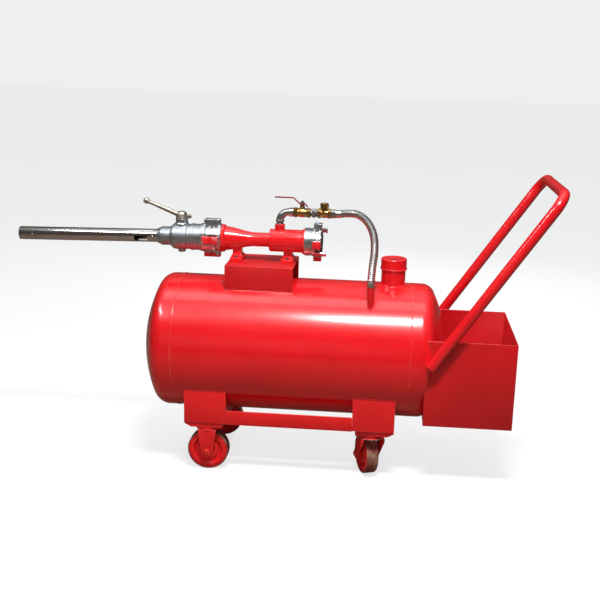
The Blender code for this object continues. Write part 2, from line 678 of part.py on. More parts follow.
# ---------------------------------------------------------------- gun
def make_gun():
    x = ADAPTOR_X
    outline = [(x, ADAPTOR_RIB_R), (x - 0.006, ADAPTOR_RIB_R), (x - 0.009, ADAPTOR_R),
               (x - 0.030, ADAPTOR_R), (x - 0.032, ADAPTOR_RIB_R - 0.0015),
               (x - ADAPTOR_LENGTH + 0.001, ADAPTOR_RIB_R - 0.0015), (x - ADAPTOR_LENGTH, ADAPTOR_R - 0.002),
               (x - ADAPTOR_LENGTH, VALVE_BORE_R), (x, WATERWAY_R)]
    turned("gun_adaptor", outline, "X", (0, 0, LINE_Z), LARGE, CAST)
    x = VALVE_X
    end = x - VALVE_LENGTH
    cavity = VALVE_BALL_R + BALL_RUN
    reach = math.sqrt(cavity ** 2 - VALVE_BORE_R ** 2)
    rings = [BALL_X + reach * math.cos(math.pi * i / 8) for i in range(1, 8)]
    bowl = [(u, math.sqrt(cavity ** 2 - (u - BALL_X) ** 2)) for u in rings]
    outline = [(x, VALVE_R), (x - 0.060, VALVE_R + 0.001), (x - 0.068, VALVE_R - 0.003), (end, 0.0395),
               (end, VALVE_BORE_R), (BALL_X - reach, VALVE_BORE_R)] + list(reversed(bowl))
    outline += [(BALL_X + reach, VALVE_BORE_R), (x, VALVE_BORE_R)]
    body = turned("gun_valve_body", outline, "X", (0, 0, LINE_Z), LARGE, CAST)
    neck = rod("valve_neck", "Z", (BALL_X, 0, 0), VALVE_NECK_R, LINE_Z + VALVE_BALL_R + 0.004, VALVE_NECK_TOP)
    drain = rod("valve_drain", "Z", (BALL_X, 0, 0), VALVE_DRAIN_R, VALVE_DRAIN_Z, LINE_Z - VALVE_BALL_R - 0.004)
    bore = rod("valve_stem_bore", "Z", (BALL_X, 0, 0), VALVE_STEM_R + RUN, LINE_Z, VALVE_NECK_TOP + 0.01, MEDIUM)
    join(body, neck, drain)
    cut(body, bore)
    ball_arc = [(LINE_Z - VALVE_BALL_R * math.cos(math.pi * i / 8),
                 VALVE_BALL_R * math.sin(math.pi * i / 8)) for i in range(9)]
    ball_arc[0] = (LINE_Z - VALVE_BALL_R, 0.0)
    ball_arc[-1] = (LINE_Z + VALVE_BALL_R, 0.0)
    ball = turned("gun_valve_ball", ball_arc, "Z", (BALL_X, 0, 0), MEDIUM, SHINY)
    stem_top = VALVE_NECK_TOP + 0.012
    stem = rod("ball_stem", "Z", (BALL_X, 0, 0), VALVE_STEM_R, LINE_Z + VALVE_BALL_R - 0.004, stem_top, MEDIUM)
    way = rod("ball_way", "X", (0, 0, LINE_Z), VALVE_BORE_R - 0.001, BALL_X - 0.05, BALL_X + 0.05, MEDIUM)
    join(ball, stem)
    cut(ball, way)
    low = VALVE_NECK_TOP + GAP
    boss = turned("gun_valve_handle", [(low, 0.0), (low, HANDLE_BOSS_R + 0.0015), (low + 0.008, HANDLE_BOSS_R),
                                       (HANDLE_BOSS_TOP - 0.009, HANDLE_BOSS_R - 0.001),
                                       (HANDLE_BOSS_TOP - 0.003, HANDLE_BOSS_R - 0.006),
                                       (HANDLE_BOSS_TOP, 0.008), (HANDLE_BOSS_TOP, 0.0)],
                  "Z", (BALL_X, 0, 0), MEDIUM, CAST)
    rise = math.radians(HANDLE_RISE)
    along = Matrix.Translation((BALL_X, 0, low + 0.008)) @ Matrix.Rotation(-math.pi / 2 + rise, 4, "Y")
    root = HANDLE_BOSS_R * 0.6
    thick, thin = HANDLE_BAR_R
    bar = turned("handle_bar", [(root, 0.0), (root, thick), (HANDLE_BAR - 0.010, thin),
                                (HANDLE_BAR - 0.006, HANDLE_KNOB_R - 0.001), (HANDLE_BAR, HANDLE_KNOB_R),
                                (HANDLE_BAR + 0.008, HANDLE_KNOB_R - 0.001), (HANDLE_BAR + 0.012, 0.006),
                                (HANDLE_BAR + 0.013, 0.0)],
                 "Z", (0, 0, 0), SMALL, None, CUTTERS, extra=along)
    ear = box("handle_ear", (BALL_X + 0.010, -0.009, low), (BALL_X + 0.0300, 0.009, low + 0.013), None, CUTTERS)
    socket = rod("handle_socket", "Z", (BALL_X, 0, 0), VALVE_STEM_R + GAP, low - 0.01, stem_top + GAP, MEDIUM)
    screw_hole = rod("screw_hole", "X", (0, 0, low + 0.0065), 0.0033, BALL_X + 0.015, BALL_X + 0.05, SMALL)
    join(boss, bar, ear)
    cut(boss, socket, screw_hole)
    face = BALL_X + 0.0300 + GAP
    turned("gun_valve_screw", [(BALL_X + 0.0165, 0.0), (BALL_X + 0.0165, 0.0029), (face, 0.0029), (face, 0.0065),
                               (face + 0.005, 0.0060), (face + 0.005, 0.0)],
           "X", (0, 0, low + 0.0065), SMALL, ZINC)
    make_foam_tube()


def make_foam_tube():
    """The collar and what it holds lie on the drooped axis, which starts at the valve's end."""
    pivot = Matrix.Translation((COLLAR_X, 0, LINE_Z))
    droop = pivot @ Matrix.Rotation(math.radians(-TUBE_DROOP), 4, "Y") @ pivot.inverted()
    x = COLLAR_X - 0.0012
    end = x - COLLAR_LENGTH
    seat = TUBE_START_X - 0.0012
    turned("gun_collar", [(x, COLLAR_R), (x - 0.036, COLLAR_R), (end, TUBE_R + 0.002), (end, TUBE_R + GAP),
                          (seat + GAP, TUBE_R + GAP), (seat + GAP, VALVE_BORE_R), (x, VALVE_BORE_R)],
           "X", (0, 0, LINE_Z), LARGE, CAST, extra=droop)
    muzzle = COLLAR_X - COLLAR_LENGTH + TUBE_SINK - TUBE_LENGTH
    inner = TUBE_R - TUBE_WALL
    pipe = turned("gun_tube", [(seat, TUBE_R), (muzzle + 0.0006, TUBE_R), (muzzle, TUBE_R - 0.0006),
                               (muzzle, inner), (seat, inner)],
                  "X", (0, 0, LINE_Z), LARGE, SHINY, extra=droop)
    slot_end = end - SLOT_FROM_COLLAR
    slot = box("air_slot", (slot_end - SLOT_LENGTH, -0.05, LINE_Z - SLOT_HEIGHT / 2),
               (slot_end, 0.05, LINE_Z + SLOT_HEIGHT / 2), None, CUTTERS, extra=droop)
    cut(pipe, slot)
    back = seat - 0.0005
    jet_r = inner - GAP
    turned("gun_jet", [(back, jet_r), (back - 0.030, jet_r), (back - 0.034, jet_r - 0.006),
                       (back - 0.056, 0.0105), (back - 0.056, 0.0080), (back, jet_r - 0.006)],
           "X", (0, 0, LINE_Z), LARGE, YELLOW, extra=droop)


make_gun()


# ---------------------------------------------------------------- suction line
def make_suction_pipe():
    low = BOSS_TOP + GAP
    turned("suction_nipple", [(low, PIPE_R - 0.001), (low + 0.0035, PIPE_R - 0.001), (low + 0.0045, PIPE_R - 0.002),
                              (low + 0.0065, PIPE_R - 0.002), (low + 0.0075, PIPE_R - 0.001),
                              (NIPPLE_TOP, PIPE_R - 0.001), (NIPPLE_TOP, SUCTION_BORE_R), (low, SUCTION_BORE_R)],
           "Z", (BOSS_X, 0, 0), SMALL, ZINC)
    start = NIPPLE_TOP + GAP
    corner = arc((0.0, 0.0), ELBOW_R, 180.0, 90.0, 5)
    centre_z = SUCTION_Z - ELBOW_R
    bend = [(BOSS_X, 0.0, start)]
    bend += [(UNION_X + x, 0.0, centre_z + z) for x, z in corner]
    bend.append((UNION_X + UNION_LENGTH, 0.0, SUCTION_Z))
    elbow = tube("suction_elbow", bend, PIPE_R, 2, ZINC)
    rim = rod("elbow_rim", "Z", (BOSS_X, 0, 0), PIPE_R + 0.0012, start + 0.0006, start + 0.007, MEDIUM)
    nut = rod("union_nut", "X", (0, 0, SUCTION_Z), UNION_R, UNION_X + 0.001, UNION_X + UNION_LENGTH - 0.0006, SMALL)
    join(elbow, rim, nut)
    low_hole = rod("elbow_bore_low", "Z", (BOSS_X, 0, 0), SUCTION_BORE_R, start - 0.01, SUCTION_Z, SMALL)
    side_hole = rod("elbow_bore_side", "X", (0, 0, SUCTION_Z), SUCTION_BORE_R * 0.99,
                    BOSS_X + 0.004, BRASS_X + 0.01, SMALL)
    cut(elbow, low_hole, side_hole)


def make_ball_valve():
    x = BRASS_X
    end = x + BRASS_LENGTH
    cavity = BRASS_BALL_R + BALL_RUN
    reach = math.sqrt(cavity ** 2 - SUCTION_BORE_R ** 2)
    bowl = [(STEM_X + reach * math.cos(math.pi * i / 6)) for i in range(1, 6)]
    hollow = [(u, math.sqrt(cavity ** 2 - (u - STEM_X) ** 2)) for u in bowl]
    outline = [(end, SUCTION_BORE_R), (end, BRASS_R), (end - 0.013, BRASS_R), (end - 0.015, BRASS_R - 0.002),
               (STEM_X + 0.011, BRASS_R - 0.002), (STEM_X + 0.008, BRASS_R - 0.0005),
               (STEM_X - 0.008, BRASS_R - 0.0005), (STEM_X - 0.011, BRASS_R - 0.002),
               (x + 0.015, BRASS_R - 0.002), (x + 0.013, BRASS_R), (x, BRASS_R), (x, SUCTION_BORE_R),
               (STEM_X - reach, SUCTION_BORE_R)] + list(reversed(hollow)) + [(STEM_X + reach, SUCTION_BORE_R)]
    body = turned("suction_valve_body", outline, "X", (0, 0, SUCTION_Z), MEDIUM, YELLOW)
    neck_top = LEVER_Z - LEVER_SHEET / 2 - GAP
    neck = rod("brass_neck", "Z", (STEM_X, 0, 0), 0.0085, SUCTION_Z + cavity + 0.002, neck_top, SMALL)
    hole = rod("brass_stem_bore", "Z", (STEM_X, 0, 0), STEM_R + RUN, SUCTION_Z, neck_top + 0.01, MEDIUM)
    join(body, neck)
    cut(body, hole)
    half = [(SUCTION_Z - BRASS_BALL_R * math.cos(math.pi * i / 8),
             BRASS_BALL_R * math.sin(math.pi * i / 8)) for i in range(9)]
    half[0] = (SUCTION_Z - BRASS_BALL_R, 0.0)
    half[-1] = (SUCTION_Z + BRASS_BALL_R, 0.0)
    ball = turned("suction_valve_ball", half, "Z", (STEM_X, 0, 0), SMALL, SHINY)
    stem_top = LEVER_Z + 0.0125
    stem = rod("suction_stem", "Z", (STEM_X, 0, 0), STEM_R, SUCTION_Z + BRASS_BALL_R - 0.002, stem_top, MEDIUM)
    way = rod("suction_way", "X", (0, 0, SUCTION_Z), SUCTION_BORE_R - 0.0008, STEM_X - 0.02, STEM_X + 0.02, SMALL)
    join(ball, stem)
    cut(ball, way)
    half_sheet = LEVER_SHEET / 2
    ramp = [(STEM_X + 0.011, LEVER_Z), (STEM_X - 0.009, LEVER_Z),
            (STEM_X - 0.009 - LEVER_RAMP * 0.8, LEVER_Z + LEVER_RISE),
            (STEM_X - 0.009 - LEVER_RAMP * 0.8 - LEVER_FLAT, LEVER_Z + LEVER_RISE)]
    over = [(x, z + half_sheet) for x, z in ramp]
    under = [(x, z - half_sheet) for x, z in reversed(ramp)]
    lever = plate("suction_valve_lever", over + under, LEVER_WIDTH, UPRIGHT, ZINC)
    tab = plate("lever_tab", [(STEM_X + 0.010, LEVER_Z + half_sheet - 0.0003),
                              (STEM_X + 0.010, LEVER_Z - half_sheet + 0.0003),
                              (STEM_X + 0.018, LEVER_Z - 0.010), (STEM_X + 0.021, LEVER_Z - 0.010),
                              (STEM_X + 0.0125, LEVER_Z + half_sheet - 0.0003)],
                LEVER_WIDTH - 0.001, UPRIGHT, None, CUTTERS)
    eye = rod("lever_eye", "Z", (STEM_X, 0, 0), STEM_R + GAP, LEVER_Z - 0.01, LEVER_Z + 0.01, MEDIUM)
    join(lever, tab)
    cut(lever, eye)
    nut_low = LEVER_Z + half_sheet + GAP
    nut = plate("suction_valve_nut", hexagon(0.0082), 0.0068,
                Matrix.Translation((STEM_X, 0, nut_low + 0.0034)), ZINC)
    nut_hole = rod("stem_nut_hole", "Z", (STEM_X, 0, 0), STEM_R + GAP, LEVER_Z, stem_top + 0.01, MEDIUM)
    cut(nut, nut_hole)


def make_check_valve():
    x = LINK_X
    end = x + LINK_LENGTH
    turned("link_nipple", [(x, PIPE_R), (x + 0.005, PIPE_R), (x + 0.006, PIPE_R + 0.0025),
                           (x + 0.018, PIPE_R + 0.0025), (x + 0.019, PIPE_R), (end, PIPE_R),
                           (end, SUCTION_BORE_R), (x, SUCTION_BORE_R)],
           "X", (0, 0, SUCTION_Z), SMALL, ZINC)
    x = CHECK_X
    end = x + CHECK_LENGTH
    middle = (x + end) / 2
    body = turned("check_valve_body", [(x, BRASS_R), (x + 0.012, BRASS_R), (x + 0.015, BRASS_R - 0.0015),
                                       (end - 0.015, BRASS_R - 0.0015), (end - 0.012, BRASS_R), (end, BRASS_R),
                                       (end, SUCTION_BORE_R), (x, SUCTION_BORE_R)],
                  "X", (0, 0, SUCTION_Z), MEDIUM, YELLOW)
    neck_top = SUCTION_Z + BRASS_R + 0.003
    neck = rod("check_neck", "Z", (middle, 0, 0), CHECK_CAP_R - 0.0015, SUCTION_Z, neck_top, MEDIUM)
    room = rod("check_room", "Z", (middle, 0, 0), CHECK_CHAMBER_R, SUCTION_Z - SUCTION_BORE_R - 0.002,
               neck_top + 0.01, MEDIUM)
    join(body, neck)
    cut(body, room)
    low = neck_top + GAP
    cap = turned("check_valve_cap", [(low - 0.003, 0.0), (low - 0.003, CHECK_CHAMBER_R - GAP),
                                     (low, CHECK_CHAMBER_R - GAP), (low, CHECK_CAP_R - 0.001),
                                     (low + 0.002, CHECK_CAP_R), (CHECK_CAP_TOP - 0.006, CHECK_CAP_R),
                                     (CHECK_CAP_TOP, CHECK_CAP_R - 0.006), (CHECK_CAP_TOP, 0.0)],
                 "Z", (middle, 0, 0), MEDIUM, YELLOW)
    smooth(cap)
    flap_x = middle + CHECK_CHAMBER_R * 0.45
    hinge_z = SUCTION_Z + SUCTION_BORE_R + 0.0022
    flap = rod("check_valve_flap", "X", (0, 0, SUCTION_Z), SUCTION_BORE_R + 0.0010, flap_x, flap_x + 0.0015,
               20, YELLOW, PARTS)
    arm = box("flap_arm", (flap_x, -0.002, SUCTION_Z + 0.004), (flap_x + 0.0015, 0.002, hinge_z), None, CUTTERS)
    barrel = rod("flap_barrel", "-Y", (flap_x + 0.00075, 0, hinge_z), 0.0014, -0.0060, 0.0060, SMALL)
    join(flap, arm, barrel)
    x = HOSE_NUT_X
    end = x + HOSE_NUT_LENGTH
    turned("hose_nut", [(x, 0.0155), (x + 0.003, 0.0155), (x + 0.004, 0.0168), (x + 0.015, 0.0168),
                        (x + 0.016, 0.0150), (end, 0.0150), (end, SUCTION_BORE_R), (x, SUCTION_BORE_R)],
           "X", (0, 0, SUCTION_Z), MEDIUM, ZINC)


def hose_route():
    """A smooth curve through the hose's own points, which start at its nut and end at its socket."""
    first = Vector((HOSE_NUT_X + HOSE_NUT_LENGTH + GAP, 0.0, SUCTION_Z))
    seat = TANK_Z + math.sqrt(TANK_R ** 2 - SOCKET_Y ** 2)
    last = Vector((SOCKET_X, SOCKET_Y, seat + SOCKET_HEIGHT + GAP))
    knots = [Vector(p) for p in HOSE_POINTS]
    shift_start = first - knots[0]
    shift_end = last - knots[-1]
    count = len(knots) - 1
    knots = [k + shift_start * (1 - i / count) + shift_end * (i / count) for i, k in enumerate(knots)]
    start = first + Vector((HOSE_STRAIGHT, 0, 0))
    end = last + Vector((0, 0, HOSE_STRAIGHT))
    ahead = [first, start] + knots[1:-1] + [end, last]
    route = [first]
    for i in range(1, len(ahead) - 2):
        before, here, there, after = ahead[i - 1:i + 3]
        for t in (0.0, 0.5):
            route.append(0.5 * (2 * here + (there - before) * t
                                + (2 * before - 5 * here + 4 * there - after) * t * t
                                + (3 * here - before - 3 * there + after) * t ** 3))
    return route + [end, last]


make_suction_pipe()
make_ball_valve()
make_check_valve()
tube("suction_hose", hose_route(), HOSE_R, 3, SHINY)


# ---------------------------------------------------------------- frame
def make_frame():
    half = BRACKET_LENGTH / 2
    for name, middle in (("bracket_front", -BRACKET_X), ("bracket_rear", BRACKET_X)):
        side = 1 if middle > 0 else -1
        bracket = box(name, (middle - half, -FRAME_HALF_WIDTH, BRACKET_BOTTOM),
                      (middle + half, FRAME_HALF_WIDTH, BRACKET_TOP), FRAME_PAINT)
        room = box(name + "_room", (middle - half + BRACKET_SHEET, -FRAME_HALF_WIDTH + BRACKET_SHEET,
                                    BRACKET_BOTTOM + BRACKET_SHEET),
                   (middle + half - BRACKET_SHEET, FRAME_HALF_WIDTH - BRACKET_SHEET, BRACKET_TOP + 0.1),
                   None, CUTTERS)
        cut(bracket, room, ENVELOPE)
        for y in (-CASTER_Y, CASTER_Y):
            hole = rod(name + "_bolt_hole", "Z", (side * CASTER_X, y, 0), KINGPIN_R + GAP,
                       BRACKET_BOTTOM - 0.01, BRACKET_BOTTOM + 0.02, SMALL)
            cut(bracket, hole)
    reach = BRACKET_X - half - GAP
    for name, side in (("rail_left", -1), ("rail_right", 1)):
        face = side * FRAME_HALF_WIDTH
        back = side * (FRAME_HALF_WIDTH - RAIL_SHEET)
        edge = side * (FRAME_HALF_WIDTH - RAIL_SHELF)
        top = RAIL_BOTTOM + RAIL_HEIGHT
        angle = [(face, RAIL_BOTTOM), (face, top), (back, top), (back, RAIL_BOTTOM + RAIL_SHEET),
                 (edge, RAIL_BOTTOM + RAIL_SHEET), (edge, RAIL_BOTTOM)]
        plate(name, angle, 2 * reach, ACROSS_X, FRAME_PAINT)


make_frame()


# ---------------------------------------------------------------- casters
def pad_outline(side):
    """Side view of a caster's top pad, chamfered at the frame's end. side is +1 at the rear."""
    inner = side * (BRACKET_X - BRACKET_LENGTH / 2 + PAD_INSET)
    outer = side * (BRACKET_X + BRACKET_LENGTH / 2)
    top = BRACKET_BOTTOM - GAP
    run, drop = PAD_CHAMFER
    return [(inner, PAD_BOTTOM), (outer - side * run, PAD_BOTTOM), (outer, PAD_BOTTOM + drop), (outer, top),
            (inner, top)]


def side_outline(top_low, top_high):
    """Side view of a fork, a little taller than it. The axle is at the origin."""
    top = CROWN_TOP - WHEEL_R
    low = arc((0.0, 0.0), LEG_END_R, -170.0, -10.0, 4)
    return [(top_low, top), (top_low, top - 0.022)] + low + [(top_high, top - 0.022), (top_high, top)]


def fork_section():
    """The fork's bent sheet, an upside-down U seen along the wheel's rolling direction."""
    reach = LEG_INSIDE + LEG_SHEET
    top = CROWN_TOP - CROWN_STEP
    outer = [(-reach, 0.0)] + arc((-reach + FORK_BEND, top - FORK_BEND), FORK_BEND, 180.0, 90.0, 2)
    outer += arc((reach - FORK_BEND, top - FORK_BEND), FORK_BEND, 90.0, 0.0, 2) + [(reach, 0.0)]
    bend = FORK_BEND - LEG_SHEET
    inner = [(LEG_INSIDE, 0.0)] + arc((LEG_INSIDE - bend, top - FORK_BEND), bend, 0.0, 90.0, 2)
    inner += arc((-LEG_INSIDE + bend, top - FORK_BEND), bend, 90.0, 180.0, 2) + [(-LEG_INSIDE, 0.0)]
    return outer + inner


def fork(name, heading, offset):
    """A caster fork on its wheel's frame, whose X is the rolling direction. Its own axis is at -offset."""
    low, high = sorted((-offset - LEG_TOP_WIDTH / 2, -offset + LEG_TOP_WIDTH / 2))
    start = min(low, -LEG_END_R) - 0.01
    end = max(high, LEG_END_R) + 0.01
    across = heading @ Matrix.Translation(((start + end) / 2, 0, 0)) @ ACROSS_X
    body = plate(name, fork_section(), end - start, across, FRAME_PAINT)
    seat = heading @ Matrix.Translation((0, 0, WHEEL_R)) @ UPRIGHT
    side_view = plate(name + "_side", side_outline(low, high), 4 * LEG_INSIDE, seat, None, CUTTERS)
    combine(body, [side_view], "INTERSECT")
    crown = rod(name + "_crown", "Z", (0, 0, 0), RACE_R + 0.002, CROWN_TOP - CROWN_THICK + 0.0015, CROWN_TOP,
                MEDIUM, extra=heading @ Matrix.Translation((-offset, 0, 0)))
    join(body, crown)
    half = 2 * LEG_INSIDE
    pin = rod(name + "_axle_hole", "-Y", (0, 0, WHEEL_R), AXLE_R + GAP, -half, half, SMALL, extra=heading)
    cut(body, pin)
    return body


def wheel_set(prefix, heading):
    """Wheel and axle bolt on the axis along the heading's Y."""
    half = WHEEL_WIDTH / 2
    hub = HUB_WIDTH / 2
    steps = LARGE
    true_r = WHEEL_R / math.cos(math.pi / steps)
    bore = AXLE_R + RUN + GAP
    outline = [(-hub, bore), (-hub, HUB_R_OUT), (-half, HUB_R_OUT), (-half, true_r - TREAD_EDGE),
               (-half + TREAD_EDGE, true_r), (half - TREAD_EDGE, true_r), (half, true_r - TREAD_EDGE),
               (half, HUB_R_OUT), (hub, HUB_R_OUT), (hub, bore)]
    quarter = Matrix.Rotation(math.pi / steps, 4, "Y")
    seat = heading @ Matrix.Translation((0, 0, WHEEL_R)) @ quarter
    turned(prefix + "_wheel", outline, "-Y", (0, 0, 0), steps, TYRE, extra=seat)
    face = LEG_INSIDE + LEG_SHEET + GAP
    end = face + BOLT_HEAD
    axle = [(-end, 0.0), (-end, BOLT_HEAD_R - 0.002), (-end + 0.002, BOLT_HEAD_R), (-face, BOLT_HEAD_R),
            (-face, AXLE_R), (face, AXLE_R), (face, BOLT_HEAD_R), (end - 0.002, BOLT_HEAD_R),
            (end, BOLT_HEAD_R - 0.002), (end, 0.0)]
    turned(prefix + "_axle", axle, "-Y", (0, 0, WHEEL_R), SMALL, ZINC, extra=heading)


def top_pad(name, side, y, dress, group=PARTS):
    """The pad between bracket and fork."""
    inner_y = FRAME_HALF_WIDTH - PAD_FRONT - PAD_DEPTH
    middle = math.copysign((FRAME_HALF_WIDTH - PAD_FRONT + inner_y) / 2, y)
    return plate(name, pad_outline(side), PAD_DEPTH, Matrix.Translation((0, middle, 0)) @ UPRIGHT, dress, group)


def make_casters():
    for label, y in (("left", -CASTER_Y), ("right", CASTER_Y)):
        # Fixed caster at the front: pad, ring and fork are one weldment.
        prefix = "front_" + label
        heading = Matrix.Translation((-CASTER_X, y, 0))
        body = fork(prefix + "_fork", heading, 0.0)
        ring = rod(prefix + "_ring", "Z", (-CASTER_X, y, 0), RACE_R - 0.001, CROWN_TOP - 0.001,
                   PAD_BOTTOM + 0.001, LARGE)
        pad = top_pad(prefix + "_pad", -1, y, None, CUTTERS)
        join(body, ring, pad)
        wheel_set(prefix, heading)
        # Swivel caster at the rear: the pad carries the kingpin, the fork hangs on it.
        prefix = "rear_" + label
        turn = Matrix.Rotation(math.radians(math.copysign(REST_SWIVEL + 90.0, -y)), 4, "Z")
        heading = Matrix.Translation((CASTER_X, y, 0)) @ turn @ Matrix.Translation((CASTER_TRAIL, 0, 0))
        body = fork(prefix + "_fork", heading, CASTER_TRAIL)
        pin_hole = rod(prefix + "_pin_hole", "Z", (CASTER_X, y, 0), KINGPIN_R + RUN + GAP,
                       CROWN_TOP - 0.02, CROWN_TOP + 0.01, SMALL)
        cut(body, pin_hole)
        pad = top_pad(prefix + "_plate", 1, y, FRAME_PAINT)
        ring = rod(prefix + "_race", "Z", (CASTER_X, y, 0), RACE_R - 0.001, CROWN_TOP + 0.0008,
                   PAD_BOTTOM + 0.001, LARGE)
        pin_low = CROWN_TOP - CROWN_THICK - 0.0028
        kingpin = turned(prefix + "_kingpin", [(pin_low, 0.0), (pin_low, BOLT_HEAD_R),
                                               (CROWN_TOP - CROWN_THICK - 0.0005, BOLT_HEAD_R),
                                               (CROWN_TOP - CROWN_THICK - 0.0005, KINGPIN_R),
                                               (BRACKET_BOTTOM + BRACKET_SHEET + 0.004, KINGPIN_R),
                                               (BRACKET_BOTTOM + BRACKET_SHEET + 0.004, 0.0)],
                         "Z", (CASTER_X, y, 0), SMALL, None, CUTTERS)
        join(pad, ring, kingpin)
        wheel_set(prefix, heading)


make_casters()


# ---------------------------------------------------------------- tool bin and push handle
def make_bin():
    half = BIN_WIDTH / 2
    far = BIN_X + BIN_LENGTH
    tray = box("tool_bin", (BIN_X, -half, BIN_BOTTOM), (far, half, BIN_TOP), FRAME_PAINT)
    room = box("bin_room", (BIN_X - 0.05, -half + BIN_SHEET, BIN_BOTTOM + BIN_SHEET),
               (far - BIN_SHEET, half - BIN_SHEET, BIN_TOP + 0.05), None, CUTTERS)
    cut(tray, room, ENVELOPE)


def make_handle():
    foot = Vector((PUSH_FOOT_X, 0.0, PUSH_FOOT_Z))
    top = foot + PUSH_DIR * PUSH_LENGTH
    inset = PUSH_BEND_R
    left = []
    for angle_x, angle_y in arc((0.0, 0.0), PUSH_BEND_R, 180.0, 90.0, 5):
        spot = top + PUSH_DIR * (angle_y - inset)
        left.append((spot.x, -PUSH_HALF_WIDTH + inset + angle_x, spot.z))
    line = [(foot.x, -PUSH_HALF_WIDTH, foot.z)] + left
    line += [(x, -y, z) for x, y, z in reversed(line)]
    handle = tube("push_handle", line, PUSH_R, 4, PAINT)
    cut(handle, ENVELOPE)


make_bin()
make_handle()
bpy.context.view_layer.update()
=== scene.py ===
"""Finished look of a wheeled foam fire extinguisher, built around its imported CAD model.

The tank, eductor, couplings, foam gun, suction line, frame, casters, tool bin and push handle are
each modelled again with fine surfaces, at the places of their CAD solids, and dressed with
procedural materials. Units are metres, +Z is up, and the foam tube points to -X.
"""
from __future__ import annotations

import json
import logging
import math
from collections.abc import Sequence
from dataclasses import dataclass, field
from enum import Enum

import bpy
from mathutils import Matrix, Vector


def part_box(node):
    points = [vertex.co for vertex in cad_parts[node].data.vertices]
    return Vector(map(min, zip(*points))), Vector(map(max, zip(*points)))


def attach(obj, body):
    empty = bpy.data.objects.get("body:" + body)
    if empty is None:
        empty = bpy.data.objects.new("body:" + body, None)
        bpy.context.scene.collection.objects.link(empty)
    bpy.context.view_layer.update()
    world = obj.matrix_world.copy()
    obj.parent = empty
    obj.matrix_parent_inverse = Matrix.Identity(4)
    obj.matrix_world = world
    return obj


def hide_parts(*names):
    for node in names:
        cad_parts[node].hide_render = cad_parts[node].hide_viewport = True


LOG = logging.getLogger("foam_trolley")
Outline = list[tuple[float, float]]
Colour = tuple[float, float, float]

GAP = 0.0003  # left between pieces that only rest on, or fit in, each other


# ---------------------------------------------------------------- modelling by hand
class Axis(Enum):
    """The direction that a turned piece's own length takes."""

    X = "X"
    Y = "Y"
    Z = "Z"

    def turn(self) -> Matrix:
        """Matrix that lays a piece turned about Z along this axis.

        Returns:
            The rotation.
        """
        if self is Axis.X:
            return Matrix.Rotation(math.radians(90), 4, "Y")
        if self is Axis.Y:
            return Matrix.Rotation(math.radians(-90), 4, "X")
        return Matrix.Identity(4)


def deselect() -> None:
    """Leaves object mode with nothing selected."""
    if bpy.context.object and bpy.context.object.mode != "OBJECT":
        bpy.ops.object.mode_set(mode="OBJECT")
    bpy.ops.object.select_all(action="DESELECT")


def pick(obj: bpy.types.Object) -> bpy.types.Object:
    """Makes an object the only selected one, and the active one.

    Args:
        obj: The object.

    Returns:
        The same object.
    """
    deselect()
    obj.select_set(True)
    bpy.context.view_layer.objects.active = obj
    return obj


def settle(obj: bpy.types.Object, place: Matrix) -> bpy.types.Object:
    """Moves a mesh by a matrix and leaves its object at the origin.

    Args:
        obj: The mesh object.
        place: The matrix to move it by.

    Returns:
        The same object.
    """
    pick(obj)
    obj.matrix_world = place
    bpy.ops.object.transform_apply(location=True, rotation=True, scale=True)
    return obj


def bevelled(obj: bpy.types.Object, width: float, segments: int = 2, angle: float = 32.0) -> bpy.types.Object:
    """Rounds the edges that are sharper than an angle.

    Args:
        obj: The mesh object.
        width: Width of the bevel in metres.
        segments: Number of strips across each bevel.
        angle: Smallest angle between faces that counts as an edge, in degrees.

    Returns:
        The same object.
    """
    pick(obj)
    step = obj.modifiers.new("edges", "BEVEL")
    step.width = width
    step.segments = segments
    step.limit_method = "ANGLE"
    step.angle_limit = math.radians(angle)
    step.harden_normals = False
    bpy.ops.object.modifier_apply(modifier=step.name)
    return obj


def smoothed(obj: bpy.types.Object, angle: float = 32.0) -> bpy.types.Object:
    """Shades a mesh smooth except across edges sharper than an angle in degrees.

    Args:
        obj: The mesh object.
        angle: Angle between faces past which an edge stays sharp, in degrees.

    Returns:
        The same object.
    """
    pick(obj)
    bpy.ops.object.shade_smooth_by_angle(angle=math.radians(angle))
    return obj


def traced(outline: Sequence[tuple[float, float]], closed: bool) -> bpy.types.Object:
    """Draws an outline as an edge chain in the XZ plane by extruding one vertex.

    Args:
        outline: (x, z) points.
        closed: Whether the last point is joined to the first.

    Returns:
        The new object, in edit mode with all selected.
    """
    deselect()
    bpy.ops.mesh.primitive_plane_add(size=0.01)
    obj = bpy.context.active_object
    bpy.ops.object.mode_set(mode="EDIT")
    bpy.ops.mesh.select_all(action="SELECT")
    bpy.ops.mesh.merge(type="CENTER")
    bpy.ops.mesh.select_all(action="SELECT")
    x, z = outline[0]
    bpy.ops.transform.translate(value=(x, 0.0, z))
    chain = list(outline) + ([outline[0]] if closed else [])
    for before, after in zip(chain, chain[1:]):
        move = (after[0] - before[0], 0.0, after[1] - before[1])
        bpy.ops.mesh.extrude_vertices_move(TRANSFORM_OT_translate={"value": move})
    bpy.ops.mesh.select_all(action="SELECT")
    bpy.ops.mesh.remove_doubles(threshold=0.000001)
    bpy.ops.mesh.select_all(action="SELECT")
    return obj


